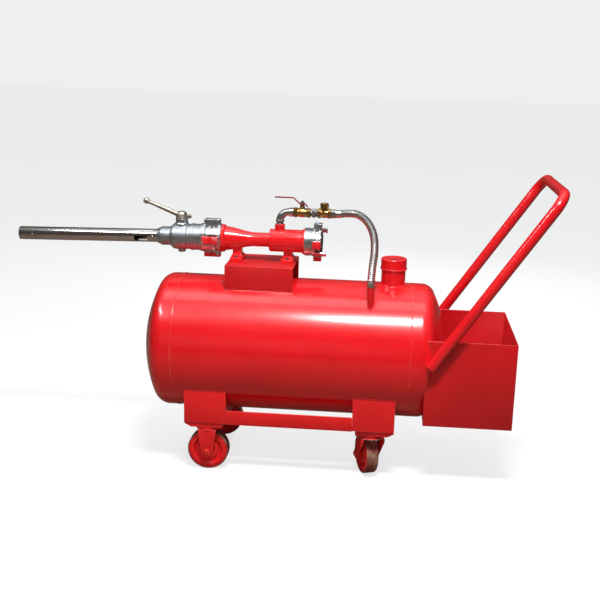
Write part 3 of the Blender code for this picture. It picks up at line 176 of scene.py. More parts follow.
def turned(name: str, profile: Outline, axis: Axis, spot: Sequence[float], steps: int = 64,
           lean: Matrix | None = None, edge: float = 0.0) -> bpy.types.Object:
    """Spins a profile into a solid.

    Args:
        name: Name of the piece.
        profile: (distance along the axis, radius) points. With both ends on the axis the shape is
            solid there, and otherwise it is a closed ring.
        axis: Direction of the axis.
        spot: A point that the axis starts from.
        steps: Number of segments round.
        lean: A further matrix, applied last.
        edge: Width of the bevel on sharp edges, or 0.

    Returns:
        The finished object.
    """
    solid = profile[0][1] == 0.0 and profile[-1][1] == 0.0
    obj = traced([(r, u) for u, r in profile], not solid)
    bpy.ops.mesh.spin(steps=steps, angle=math.tau, center=(0, 0, 0), axis=(0, 0, 1))
    bpy.ops.mesh.select_all(action="SELECT")
    bpy.ops.mesh.remove_doubles(threshold=0.00001)
    bpy.ops.mesh.select_all(action="SELECT")
    bpy.ops.mesh.normals_make_consistent(inside=False)
    bpy.ops.object.mode_set(mode="OBJECT")
    place = Matrix.Translation(spot) @ axis.turn()
    settle(obj, place if lean is None else lean @ place)
    obj.name = obj.data.name = name
    if edge:
        bevelled(obj, edge)
    return smoothed(obj)


def prism(name: str, outline: Outline, depth: float, place: Matrix, edge: float = 0.0) -> bpy.types.Object:
    """Extrudes a flat outline to both sides of its plane.

    Args:
        name: Name of the piece.
        outline: (x, z) points of a closed outline.
        depth: Whole thickness across the plane, along Y.
        place: Matrix that puts the piece in its place.
        edge: Width of the bevel on sharp edges, or 0.

    Returns:
        The finished object.
    """
    obj = traced(outline, True)
    bpy.ops.transform.translate(value=(0.0, -depth / 2, 0.0))
    bpy.ops.mesh.edge_face_add()
    bpy.ops.mesh.select_all(action="SELECT")
    bpy.ops.mesh.extrude_region_move(TRANSFORM_OT_translate={"value": (0.0, depth, 0.0)})
    bpy.ops.mesh.select_all(action="SELECT")
    bpy.ops.mesh.normals_make_consistent(inside=False)
    bpy.ops.object.mode_set(mode="OBJECT")
    settle(obj, place)
    obj.name = obj.data.name = name
    if edge:
        bevelled(obj, edge)
    return smoothed(obj)


def block(name: str, low: Sequence[float], high: Sequence[float], edge: float,
          place: Matrix | None = None) -> bpy.types.Object:
    """A rectangular block between two corners, with rounded edges.

    Args:
        name: Name of the piece.
        low: Lowest corner.
        high: Highest corner.
        edge: Width of the bevel, or 0.
        place: A further matrix, or None.

    Returns:
        The finished object.
    """
    deselect()
    size = [b - a for a, b in zip(low, high)]
    centre = [(a + b) / 2 for a, b in zip(low, high)]
    bpy.ops.mesh.primitive_cube_add(size=1.0)
    obj = bpy.context.active_object
    stretch = Matrix.Translation(centre) @ Matrix.Diagonal((*size, 1.0))
    settle(obj, stretch if place is None else place @ stretch)
    obj.name = obj.data.name = name
    if edge:
        bevelled(obj, edge, 3)
    return smoothed(obj)


def hexagon(name: str, across: float, start: float, end: float, axis: Axis, spot: Sequence[float],
            bore: float = 0.0) -> bpy.types.Object:
    """A hexagonal nut or bolt head, turned down at its corners.

    Args:
        name: Name of the piece.
        across: Distance between opposite flats.
        start: Where it begins along its axis.
        end: Where it ends along its axis.
        axis: Direction of its axis.
        spot: A point that the axis starts from.
        bore: Radius of the hole through it, or 0.

    Returns:
        The finished object.
    """
    deselect()
    radius = across / math.sqrt(3)
    bpy.ops.mesh.primitive_cylinder_add(vertices=6, radius=radius, depth=end - start)
    obj = bpy.context.active_object
    lift = Matrix.Translation((0, 0, (start + end) / 2)) @ Matrix.Rotation(math.radians(30), 4, "Z")
    settle(obj, Matrix.Translation(spot) @ axis.turn() @ lift)
    obj.name = obj.data.name = name
    corner = (radius - across / 2) * 0.9
    shell = [(start, 0.0), (start, radius - corner), (start + corner * 0.6, radius + 0.0002),
             (end - corner * 0.6, radius + 0.0002), (end, radius - corner), (end, 0.0)]
    combined(obj, turned("tool", shell, axis, spot, 36), "INTERSECT")
    if bore:
        hole = [(start - 0.001, 0.0), (start - 0.001, bore), (end + 0.001, bore), (end + 0.001, 0.0)]
        combined(obj, turned("tool", hole, axis, spot, 24), "DIFFERENCE")
    bevelled(obj, 0.0003, 1, 25.0)
    return smoothed(obj, 25.0)


def combined(obj: bpy.types.Object, tool: bpy.types.Object, operation: str) -> bpy.types.Object:
    """Applies a Boolean with another object, which is used up.

    Args:
        obj: The mesh that is changed.
        tool: The mesh that changes it.
        operation: UNION, DIFFERENCE or INTERSECT.

    Returns:
        The changed object.
    """
    pick(obj)
    step = obj.modifiers.new("combine", "BOOLEAN")
    step.operation = operation
    step.solver = "EXACT"
    step.object = tool
    bpy.ops.object.modifier_apply(modifier=step.name)
    bpy.data.objects.remove(tool, do_unlink=True)
    return obj


def gathered(name: str, pieces: Sequence[bpy.types.Object]) -> bpy.types.Object:
    """Joins loose pieces into one object under the first one's seat.

    Args:
        name: Name of the joined piece.
        pieces: The pieces; the first one keeps its seat.

    Returns:
        The joined object.
    """
    deselect()
    for piece in pieces:
        piece.select_set(True)
    bpy.context.view_layer.objects.active = pieces[0]
    bpy.ops.object.join()
    obj = bpy.context.active_object
    obj.name = obj.data.name = name
    return obj


def piped(name: str, points: Sequence[Vector], radii: Sequence[float], resolution: int = 6,
          closed: bool = False) -> bpy.types.Object:
    """A round bar along a line of points, made from a bevelled curve.

    Args:
        name: Name of the piece.
        points: The centre line.
        radii: The bar's radius at each point.
        resolution: Bevel resolution of the curve.
        closed: Whether the line is a ring.

    Returns:
        The finished object.
    """
    deselect()
    curve = bpy.data.curves.new(name, "CURVE")
    curve.dimensions = "3D"
    curve.bevel_depth = 1.0
    curve.bevel_resolution = resolution
    curve.use_fill_caps = not closed
    line = curve.splines.new("POLY")
    line.points.add(len(points) - 1)
    for knot, spot, radius in zip(line.points, points, radii):
        knot.co = (*spot, 1.0)
        knot.radius = radius
    line.use_cyclic_u = closed
    obj = bpy.data.objects.new(name, curve)
    bpy.context.scene.collection.objects.link(obj)
    pick(obj)
    bpy.ops.object.convert(target="MESH")
    obj = bpy.context.active_object
    bpy.ops.object.mode_set(mode="EDIT")
    bpy.ops.mesh.select_all(action="SELECT")
    bpy.ops.mesh.remove_doubles(threshold=0.000005)
    bpy.ops.mesh.select_all(action="SELECT")
    bpy.ops.mesh.normals_make_consistent(inside=False)
    bpy.ops.object.mode_set(mode="OBJECT")
    obj.name = obj.data.name = name
    return smoothed(obj, 40.0)


def refined(name: str, node: str, edge: float, segments: int = 2) -> bpy.types.Object:
    """A copy of a flat-sided CAD node, with its triangles merged and its edges rounded.

    Args:
        name: Name of the piece.
        node: The CAD node.
        edge: Width of the bevel.
        segments: Number of strips across each bevel.

    Returns:
        The finished object.
    """
    deselect()
    mesh = FRAME["nodes"][node].data.copy()
    obj = bpy.data.objects.new(name, mesh)
    for key in list(obj.keys()):
        del obj[key]
    bpy.context.scene.collection.objects.link(obj)
    pick(obj)
    bpy.ops.object.mode_set(mode="EDIT")
    bpy.ops.mesh.select_all(action="SELECT")
    bpy.ops.mesh.remove_doubles(threshold=0.00002)
    bpy.ops.mesh.select_all(action="SELECT")
    bpy.ops.mesh.dissolve_limited(angle_limit=math.radians(1.5))
    bpy.ops.mesh.select_all(action="SELECT")
    bpy.ops.mesh.normals_make_consistent(inside=False)
    bpy.ops.object.mode_set(mode="OBJECT")
    obj.name = obj.data.name = name
    obj.data.materials.clear()
    bevelled(obj, edge, segments, 40.0)
    return smoothed(obj)


def arc(centre: tuple[float, float], radius: float, start: float, end: float, count: int) -> Outline:
    """Points on an arc, with its angles in degrees."""
    angles = [math.radians(start + (end - start) * i / count) for i in range(count + 1)]
    return [(centre[0] + radius * math.cos(a), centre[1] + radius * math.sin(a)) for a in angles]


def span(node: str) -> tuple[Vector, Vector, Vector]:
    """Lowest corner, highest corner and middle of a CAD node."""
    low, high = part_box(node)
    return low, high, (low + high) / 2


# ---------------------------------------------------------------- materials
class Graph:
    """A short way to write a node tree."""

    def __init__(self, tree: bpy.types.NodeTree) -> None:
        """Starts on a tree."""
        self.tree = tree

    def node(self, kind: str, inputs: dict[str | int, object] | None = None,
             **settings: object) -> bpy.types.Node:
        """Adds a node.

        Args:
            kind: The node's type name after ShaderNode.
            inputs: Values or output sockets for its inputs.
            **settings: Properties of the node.

        Returns:
            The new node.
        """
        made = self.tree.nodes.new("ShaderNode" + kind)
        for key, value in settings.items():
            setattr(made, key, value)
        for key, value in (inputs or {}).items():
            if isinstance(value, bpy.types.NodeSocket):
                self.tree.links.new(value, made.inputs[key])
            else:
                made.inputs[key].default_value = value
        return made

    def blend(self, mask: bpy.types.NodeSocket, low: object, high: object) -> bpy.types.NodeSocket:
        """Colour that goes from low to high as the mask goes from 0 to 1.

        Args:
            mask: How far to go from low to high.
            low: Colour or socket where the mask is 0.
            high: Colour or socket where the mask is 1.

        Returns:
            The blended colour.
        """
        mix = self.node("Mix", data_type="RGBA")
        for index, value in ((0, mask), (6, low), (7, high)):
            if isinstance(value, bpy.types.NodeSocket):
                self.tree.links.new(value, mix.inputs[index])
            else:
                mix.inputs[index].default_value = (*value, 1.0)
        return mix.outputs[2]

    def span(self, value: bpy.types.NodeSocket, source: tuple[float, float],
             target: tuple[float, float]) -> bpy.types.NodeSocket:
        """A value mapped from one range to another, and clamped."""
        mapped = self.node("MapRange", {"Value": value, "From Min": source[0], "From Max": source[1],
                                        "To Min": target[0], "To Max": target[1]})
        return mapped.outputs["Result"]

    def math(self, operation: str, left: object, right: object) -> bpy.types.NodeSocket:
        """The result of a Math node."""
        return self.node("Math", {0: left, 1: right}, operation=operation).outputs[0]


def new_group(name: str, inputs: dict[str, float], outputs: Sequence[str]) -> tuple[Graph, object, object]:
    """Starts a shared effect.

    Args:
        name: Name of the group.
        inputs: Float inputs and their defaults. An input Vector comes first by itself.
        outputs: Names of the float outputs.

    Returns:
        Its graph, its input node and its output node.
    """
    tree = bpy.data.node_groups.new(name, "ShaderNodeTree")
    tree.interface.new_socket("Vector", in_out="INPUT", socket_type="NodeSocketVector")
    for key, value in inputs.items():
        made = tree.interface.new_socket(key, in_out="INPUT", socket_type="NodeSocketFloat")
        made.default_value = value
    for key in outputs:
        tree.interface.new_socket(key, in_out="OUTPUT", socket_type="NodeSocketFloat")
    return Graph(tree), tree.nodes.new("NodeGroupInput"), tree.nodes.new("NodeGroupOutput")


def grain_group() -> bpy.types.NodeTree:
    """Coarse and fine noise that most finishes vary by.

    Returns:
        The node group.
    """
    graph, source, sink = new_group("surface_grain", {"Coarse": 6.0, "Fine": 220.0}, ["Blotch", "Grain"])
    for scale, detail, out in (("Coarse", 4.0, "Blotch"), ("Fine", 3.0, "Grain")):
        noise = graph.node("TexNoise", {"Vector": source.outputs["Vector"], "Scale": source.outputs[scale],
                                        "Detail": detail, "Roughness": 0.6})
        graph.tree.links.new(noise.outputs["Fac"], sink.inputs[out])
    return graph.tree


def wear_group() -> bpy.types.NodeTree:
    """A mask that shows on worn outer edges, broken up by noise.

    Returns:
        The node group.
    """
    graph, source, sink = new_group("edge_wear", {"Width": 0.0025, "Breakup": 60.0}, ["Mask"])
    shape = graph.node("NewGeometry")
    rounded = graph.node("Bevel", {"Radius": source.outputs["Width"]}, samples=4)
    both = graph.node("VectorMath", {0: rounded.outputs["Normal"], 1: shape.outputs["Normal"]},
                      operation="DOT_PRODUCT")
    edge = graph.span(both.outputs["Value"], (0.985, 0.90), (0.0, 1.0))
    outer = graph.span(shape.outputs["Pointiness"], (0.500, 0.515), (0.0, 1.0))
    noise = graph.node("TexNoise", {"Vector": source.outputs["Vector"], "Scale": source.outputs["Breakup"],
                                    "Detail": 5.0, "Roughness": 0.7})
    chip = graph.span(noise.outputs["Fac"], (0.42, 0.60), (0.0, 1.0))
    worn = graph.math("MULTIPLY", graph.math("MULTIPLY", edge, outer), chip)
    graph.tree.links.new(worn, sink.inputs["Mask"])
    return graph.tree


def dust_group() -> bpy.types.NodeTree:
    """A mask of dust that lies on what faces up.

    Returns:
        The node group.
    """
    graph, source, sink = new_group("settled_dust", {"Amount": 0.2, "Patch": 9.0}, ["Mask"])
    shape = graph.node("NewGeometry")
    split = graph.node("SeparateXYZ", {0: shape.outputs["Normal"]})
    up = graph.span(split.outputs["Z"], (0.2, 1.0), (0.0, 1.0))
    noise = graph.node("TexNoise", {"Vector": source.outputs["Vector"], "Scale": source.outputs["Patch"],
                                    "Detail": 6.0, "Roughness": 0.65})
    patch = graph.span(noise.outputs["Fac"], (0.42, 0.66), (0.0, 1.0))
    lying = graph.math("MULTIPLY", up, patch)
    both = graph.math("MULTIPLY", lying, source.outputs["Amount"])
    graph.tree.links.new(both, sink.inputs["Mask"])
    return graph.tree


class Effects:
    """The shared node groups, each built once."""

    def __init__(self, line_height: float) -> None:
        """Builds the three groups, and keeps the height of the couplings' axis.

        Args:
            line_height: Height of the couplings' axis above the floor.
        """
        self.line_height = line_height
        self.grain = grain_group()
        self.wear = wear_group()
        self.dust = dust_group()

    @staticmethod
    def use(graph: Graph, tree: bpy.types.NodeTree, vector: bpy.types.NodeSocket,
            values: dict[str, float] | None = None) -> bpy.types.Node:
        """Places a group in a material with its own values.

        Args:
            graph: Graph of the material.
            tree: The group to place.
            vector: Coordinates that the group reads.
            values: Values of the group's inputs by name; the others keep their defaults.

        Returns:
            The group's node.
        """
        made = graph.tree.nodes.new("ShaderNodeGroup")
        made.node_tree = tree
        graph.tree.links.new(vector, made.inputs["Vector"])
        for key, value in (values or {}).items():
            made.inputs[key].default_value = value
        return made


def begin(name: str) -> tuple[bpy.types.Material, Graph, bpy.types.Node, bpy.types.NodeSocket]:
    """Starts a material.

    Args:
        name: Name of the material.

    Returns:
        The material, its graph, its Principled BSDF and its Object coordinates.
    """
    made = bpy.data.materials.new(name)
    made.use_nodes = True
    graph = Graph(made.node_tree)
    coords = graph.node("TexCoord")
    return made, graph, made.node_tree.nodes["Principled BSDF"], coords.outputs["Object"]


def bump(graph: Graph, shader: bpy.types.Node, height: bpy.types.NodeSocket, depth: float,
         strength: float = 1.0) -> None:
    """Gives a shader a bump of a depth in metres."""
    made = graph.node("Bump", {"Height": height, "Strength": strength, "Distance": depth})
    graph.tree.links.new(made.outputs["Normal"], shader.inputs["Normal"])


@dataclass(frozen=True)
class Enamel:
    """Red paint on steel, with orange peel, faint runs, rubbed edges and dust."""

    name: str
    colour: Colour
    deep: Colour
    roughness: float
    coat: float
    peel: float = 0.00006
    rub: Colour = (0.95, 0.20, 0.16)

    def make(self, effects: Effects) -> bpy.types.Material:
        """Builds the paint.

        Args:
            effects: The shared node groups.

        Returns:
            The material.
        """
        made, graph, shader, vector = begin(self.name)
        grain = Effects.use(graph, effects.grain, vector, {"Coarse": 5.0, "Fine": 170.0})
        streak = graph.node("Mapping", {"Vector": vector, "Scale": (0.5, 5.0, 9.0)})
        run = Effects.use(graph, effects.grain, streak.outputs["Vector"], {"Coarse": 4.0, "Fine": 30.0})
        wear = Effects.use(graph, effects.wear, vector)
        dust = Effects.use(graph, effects.dust, vector, {"Amount": 0.045})
        patch = graph.span(grain.outputs["Blotch"], (0.38, 0.72), (0.0, 0.8))
        paint = graph.blend(patch, self.colour, self.deep)
        shaded = graph.blend(graph.span(run.outputs["Blotch"], (0.50, 0.80), (0.0, 0.30)), paint, self.deep)
        rubbed = graph.blend(wear.outputs["Mask"], shaded, self.rub)
        dusty = graph.blend(dust.outputs["Mask"], rubbed, (0.62, 0.34, 0.30))
        graph.tree.links.new(dusty, shader.inputs["Base Color"])
        smear = graph.span(run.outputs["Blotch"], (0.3, 0.75), (self.roughness, self.roughness + 0.06))
        rough = graph.math("ADD", smear, graph.math("MULTIPLY", dust.outputs["Mask"], 0.5))
        graph.tree.links.new(rough, shader.inputs["Roughness"])
        shader.inputs["Coat Weight"].default_value = self.coat
        shader.inputs["Coat Roughness"].default_value = 0.10
        bump(graph, shader, grain.outputs["Grain"], self.peel)
        return made


@dataclass(frozen=True)
class Metal:
    """Bare metal with grain, tarnish in blotches and bright rubbed edges."""

    name: str
    colour: Colour
    tarnish: Colour
    bright: Colour
    roughness: float
    grain_scale: float = 300.0
    grain_depth: float = 0.00012
    stretch: tuple[float, float, float] = (1.0, 1.0, 1.0)
    overspray: bool = False

    def make(self, effects: Effects) -> bpy.types.Material:
        """Builds the metal.

        Args:
            effects: The shared node groups.

        Returns:
            The material.
        """
        made, graph, shader, vector = begin(self.name)
        mapping = graph.node("Mapping", {"Vector": vector, "Scale": self.stretch})
        grain = Effects.use(graph, effects.grain, mapping.outputs["Vector"],
                            {"Coarse": 14.0, "Fine": self.grain_scale})
        wear = Effects.use(graph, effects.wear, vector, {"Width": 0.0015, "Breakup": 120.0})
        dust = Effects.use(graph, effects.dust, vector, {"Amount": 0.10, "Patch": 30.0})
        blotch = graph.span(grain.outputs["Blotch"], (0.40, 0.72), (0.0, 1.0))
        base = graph.blend(blotch, self.colour, self.tarnish)
        rubbed = graph.blend(wear.outputs["Mask"], base, self.bright)
        dusty = graph.blend(dust.outputs["Mask"], rubbed, (0.30, 0.27, 0.24))
        rough = graph.span(grain.outputs["Blotch"], (0.3, 0.75), (self.roughness, self.roughness + 0.20))
        graph.tree.links.new(rough, shader.inputs["Roughness"])
        if self.overspray:
            mask = self.sprayed(graph, vector, grain.outputs["Blotch"], effects.line_height)
            graph.tree.links.new(graph.blend(mask, dusty, (0.72, 0.012, 0.018)), shader.inputs["Base Color"])
            graph.tree.links.new(graph.math("SUBTRACT", 1.0, mask), shader.inputs["Metallic"])
        else:
            graph.tree.links.new(dusty, shader.inputs["Base Color"])
            shader.inputs["Metallic"].default_value = 1.0
        bump(graph, shader, grain.outputs["Grain"], self.grain_depth)
        return made


    @staticmethod
    def sprayed(graph: Graph, vector: bpy.types.NodeSocket, blotch: bpy.types.NodeSocket,
                height: float) -> bpy.types.NodeSocket:
        """Mask of red paint that has caught the lower and outer lugs of a coupling.

        Args:
            graph: The material's graph.
            vector: Object coordinates.
            blotch: Coarse noise that breaks the mask up.
            height: Height of the coupling's axis.

        Returns:
            The mask.
        """
        split = graph.node("SeparateXYZ", {0: vector})
        rise = graph.math("SUBTRACT", split.outputs["Z"], height)
        squares = graph.math("ADD", graph.math("MULTIPLY", rise, rise),
                             graph.math("MULTIPLY", split.outputs["Y"], split.outputs["Y"]))
        outer = graph.span(graph.math("SQRT", squares, 0.0), (0.0535, 0.0560), (0.0, 1.0))
        low = graph.span(rise, (0.034, 0.020), (0.0, 1.0))
        broken = graph.span(blotch, (0.36, 0.44), (0.0, 1.0))
        return graph.math("MULTIPLY", graph.math("MULTIPLY", outer, low), broken)


@dataclass(frozen=True)
class Rubber:
    """Rubber or a wheel's tread, scuffed and dusty."""

    name: str
    colour: Colour
    scuff: Colour
    roughness: float

    def make(self, effects: Effects) -> bpy.types.Material:
        """Builds the rubber.

        Args:
            effects: The shared node groups.

        Returns:
            The material.
        """
        made, graph, shader, vector = begin(self.name)
        grain = Effects.use(graph, effects.grain, vector, {"Coarse": 22.0, "Fine": 500.0})
        wear = Effects.use(graph, effects.wear, vector, {"Width": 0.003, "Breakup": 35.0})
        blotch = graph.span(grain.outputs["Blotch"], (0.42, 0.66), (0.0, 0.75))
        both = graph.math("MAXIMUM", blotch, wear.outputs["Mask"])
        graph.tree.links.new(graph.blend(both, self.colour, self.scuff), shader.inputs["Base Color"])
        rough = graph.span(both, (0.0, 1.0), (self.roughness, min(1.0, self.roughness + 0.2)))
        graph.tree.links.new(rough, shader.inputs["Roughness"])
        bump(graph, shader, grain.outputs["Grain"], 0.0002)
        return made


class Finish(Enum):
    """Every finish on the trolley."""

    TANK = Enamel("tank_enamel", (0.74, 0.006, 0.011), (0.64, 0.005, 0.009), 0.20, 0.55)
    FRAME = Enamel("frame_enamel", (0.78, 0.010, 0.012), (0.62, 0.008, 0.010), 0.42, 0.10, 0.00012)
    # The frame's red paint made darker: painted shade for the saddle, tool bin and caster plates.
    SHEET = Enamel("sheet_enamel_painted_shade", (0.58, 0.006, 0.010), (0.46, 0.005, 0.008), 0.38, 0.12, 0.00010)
    CAST = Metal("cast_aluminium", (0.52, 0.55, 0.58), (0.34, 0.37, 0.40), (0.86, 0.87, 0.88), 0.30)
    CLAW = Metal("coupling_alloy", (0.62, 0.63, 0.64), (0.44, 0.45, 0.47), (0.90, 0.90, 0.90), 0.26,
                 overspray=True)
    ZINC = Metal("galvanised_steel", (0.48, 0.48, 0.48), (0.30, 0.29, 0.28), (0.78, 0.78, 0.78), 0.28, 180.0)
    BRASS = Metal("valve_brass", (0.52, 0.32, 0.11), (0.30, 0.17, 0.06), (0.86, 0.66, 0.34), 0.26)
    STAINLESS = Metal("polished_stainless", (0.66, 0.62, 0.58), (0.54, 0.48, 0.43), (0.85, 0.82, 0.80), 0.09,
                      260.0, 0.00002, (0.06, 1.0, 1.0))
    LEVER = Metal("handle_alloy", (0.50, 0.45, 0.37), (0.36, 0.31, 0.25), (0.80, 0.76, 0.70), 0.36)
    BRAID = Metal("ringed_steel", (0.60, 0.58, 0.57), (0.40, 0.36, 0.34), (0.85, 0.83, 0.81), 0.22)
    SLEEVE = Rubber("lever_sleeve", (0.26, 0.020, 0.016), (0.13, 0.018, 0.015), 0.38)
    SEAL = Rubber("seal_rubber", (0.010, 0.010, 0.011), (0.040, 0.038, 0.036), 0.50)
    TREAD = Rubber("wheel_tread", (0.19, 0.020, 0.018), (0.36, 0.24, 0.15), 0.55)


class Workshop:
    """Hands out materials, and seats each finished piece on its body."""

    def __init__(self, line_height: float) -> None:
        """Builds every material once, with the couplings' axis at a height."""
        effects = Effects(line_height)
        self.materials = {finish: finish.value.make(effects) for finish in Finish}

    def seat(self, obj: bpy.types.Object, finish: Finish, body: str, slot: str,
             nodes: Sequence[str] = ()) -> bpy.types.Object:
        """Dresses a piece and fixes it to a body.

        Args:
            obj: The finished piece.
            finish: Its finish.
            body: The CAD body that carries it.
            slot: The record's material slot. Not used.
            nodes: The CAD nodes that it stands for.

        Returns:
            The same object.
        """
        deselect()
        obj.data.materials.clear()
        obj.data.materials.append(self.materials[finish])
        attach(obj, body)
        if nodes:
            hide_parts(*nodes)
        LOG.info("%s rides on %s: %d faces", obj.name, body, len(obj.data.polygons))
        return obj


RED, FRAME_RED, ALLOY = "gloss_red_paint", "frame_red_paint", "cast_aluminium"
STEEL, BRASS_SLOT, CHROME, BLACK, TYRE = ("zinc_steel", "brass", "stainless_steel", "black_rubber",
                                          "tyre_rubber")


# ---------------------------------------------------------------- tank
@dataclass
class FoamTank:
    """Shell, dished heads, filler, suction socket and dip pipe."""

    wall: float = 0.004
    crown_radius: float = 0.500
    knuckle_radius: float = 0.050
    head_flange: float = 0.035
    seam_width: float = 0.0055
    seam_height: float = 0.0016
    radius: float = field(init=False)
    centre: Vector = field(init=False)

    def __post_init__(self) -> None:
        """Takes the tank's radius and middle from its shell."""
        low, high, self.centre = span("tank_shell")
        self.radius = (high.z - low.z) / 2

    def height_at(self, y: float) -> float:
        """Height of the tank's top surface at a distance from its middle plane."""
        return self.centre.z + math.sqrt(self.radius ** 2 - y ** 2)

    def head_profile(self, offset: float) -> Outline:
        """(distance from the tangent line, radius) along a dished head, rim to apex.

        Args:
            offset: Distance outside the dished surface; below zero is inside it.

        Returns:
            Points from the rim to the apex.
        """
        crown = self.crown_radius + offset
        knuckle = self.knuckle_radius + offset
        inner = self.radius - self.knuckle_radius
        reach = math.sqrt((self.crown_radius - self.knuckle_radius) ** 2 - inner ** 2)
        turn = math.degrees(math.atan2(inner, reach))
        corner = arc((0.0, inner), knuckle, 90.0, turn, 14)
        dish = arc((-reach, 0.0), crown, turn, 0.0, 16)[1:-1]
        return corner + dish + [(crown - reach, 0.0)]

    def build(self, shop: Workshop) -> None:
        """Models and dresses the tank's pieces.

        Args:
            shop: Seats each finished piece on its body.
        """
        low, high, _ = span("tank_shell")
        axis_spot = (0.0, 0.0, self.centre.z)
        inner = self.radius - self.wall
        shell = turned("tank_shell_fine", [(low.x, self.radius), (high.x, self.radius), (high.x, inner),
                                           (low.x, inner)], Axis.X, axis_spot, 128)
        shop.seat(shell, Finish.TANK, "root", RED, ["tank_shell"])
        for node, side, rim in (("tank_head_front", -1.0, low.x), ("tank_head_rear", 1.0, high.x)):
            tangent = rim + side * self.head_flange
            outer = [(rim + side * GAP, self.radius)]
            outer += [(tangent + side * u, r) for u, r in self.head_profile(0.0)]
            inside = [(rim + side * GAP, inner)]
            inside += [(tangent + side * u, r) for u, r in self.head_profile(-self.wall)]
            head = turned(node + "_fine", list(reversed(inside)) + outer, Axis.X, axis_spot, 128)
            shop.seat(head, Finish.TANK, "root", RED, [node])
            half = self.seam_width / 2
            bead = [(rim - half, self.radius - 0.0006),
                    (rim - half * 0.5, self.radius + self.seam_height * 0.8),
                    (rim, self.radius + self.seam_height),
                    (rim + half * 0.5, self.radius + self.seam_height * 0.8),
                    (rim + half, self.radius - 0.0006)]
            seam = turned(node + "_weld", bead, Axis.X, axis_spot, 160)
            shop.seat(seam, Finish.TANK, "root", RED)
        self.build_filler(shop)
        self.build_socket(shop)

    def weld_round(self, name: str, x: float, y: float, radius: float, bead: float) -> bpy.types.Object:
        """A weld bead where an upright pipe meets the tank.

        Args:
            name: Name of the piece.
            x: Place of the pipe along the tank.
            y: Place of the pipe across the tank.
            radius: Radius of the bead's ring.
            bead: Radius of the bead itself.

        Returns:
            The weld bead.
        """
        steps = 72
        points = []
        for i in range(steps):
            angle = math.tau * i / steps
            side = y + radius * math.sin(angle)
            points.append(Vector((x + radius * math.cos(angle), side, self.height_at(side))))
        radii = [bead * (1.0 + 0.07 * math.sin(18 * math.tau * i / steps)) for i in range(steps)]
        return piped(name, points, radii, 3, True)

    def build_filler(self, shop: Workshop) -> None:
        """Models the filler's neck, seal and cap.

        Args:
            shop: Seats each finished piece on its body.
        """
        low, high, middle = span("filler_neck")
        ring_low, ring_high, _ = span("filler_gasket")
        outer = (ring_high.x - ring_low.x) / 2
        inner = outer - self.wall
        spot = (middle.x, 0.0, 0.0)
        neck = turned("filler_neck_fine", [(low.z, outer), (high.z - 0.001, outer), (high.z, outer - 0.001),
                                           (high.z, inner), (low.z, inner)], Axis.Z, spot, 72)
        shop.seat(neck, Finish.TANK, "root", RED, ["filler_neck"])
        weld = self.weld_round("filler_neck_weld", middle.x, 0.0, outer + 0.0015, 0.0040)
        shop.seat(weld, Finish.TANK, "root", RED)
        ring = turned("filler_gasket_fine", [(ring_low.z, outer), (ring_high.z, outer), (ring_high.z, inner),
                                             (ring_low.z, inner)], Axis.Z, spot, 64, None, 0.0004)
        shop.seat(ring, Finish.SEAL, "cap_seal", BLACK, ["filler_gasket"])
        low, high, _ = span("filler_cap")
        bead = (high.x - low.x) / 2
        body = bead - 0.0025
        bore = outer + 0.0007
        roof = ring_high.z + GAP
        profile = [(roof, 0.0), (roof, bore), (low.z, bore), (low.z, bead - 0.0016)]
        profile += arc((low.z + 0.0030, bead - 0.0025), 0.0025, 150.0, 20.0, 6)
        profile += [(low.z + 0.0085, body), (high.z - 0.0065, body)]
        profile += arc((high.z - 0.0060, body - 0.0060), 0.0060, 90.0, 0.0, 6)
        profile += [(high.z, body - 0.0180), (high.z - 0.0008, body - 0.0200), (high.z - 0.0008, 0.0)]
        cap = turned("filler_cap_fine", profile, Axis.Z, spot, 96)
        shop.seat(cap, Finish.TANK, "cap", RED, ["filler_cap"])

    def build_socket(self, shop: Workshop) -> None:
        """Models the suction socket and the pipe below it.

        Args:
            shop: Seats each finished piece on its body.
        """
        low, high, middle = span("suction_socket")
        radius = (high.x - low.x) / 2
        stub = radius - 0.0022
        bore = 0.0075
        seat = self.height_at(middle.y)
        wide = seat + 0.018
        profile = [(low.z, bore), (low.z, stub), (wide - 0.006, stub), (wide - 0.002, radius - 0.0008),
                   (wide, radius), (high.z - 0.0015, radius), (high.z, radius - 0.0015), (high.z, bore)]
        socket = turned("suction_socket_fine", profile, Axis.Z, (middle.x, middle.y, 0.0), 48)
        shop.seat(socket, Finish.TANK, "root", RED, ["suction_socket"])
        weld = self.weld_round("suction_socket_weld", middle.x, middle.y, stub + 0.0006, 0.0024)
        shop.seat(weld, Finish.TANK, "root", RED)
        low, high, middle = span("dip_tube")
        radius = (high.x - low.x) / 2
        dip = turned("dip_tube_fine", [(low.z, radius), (high.z, radius), (high.z, bore), (low.z, bore)],
                     Axis.Z, (middle.x, middle.y, 0.0), 32, None, 0.0006)
        shop.seat(dip, Finish.ZINC, "root", STEEL, ["dip_tube"])


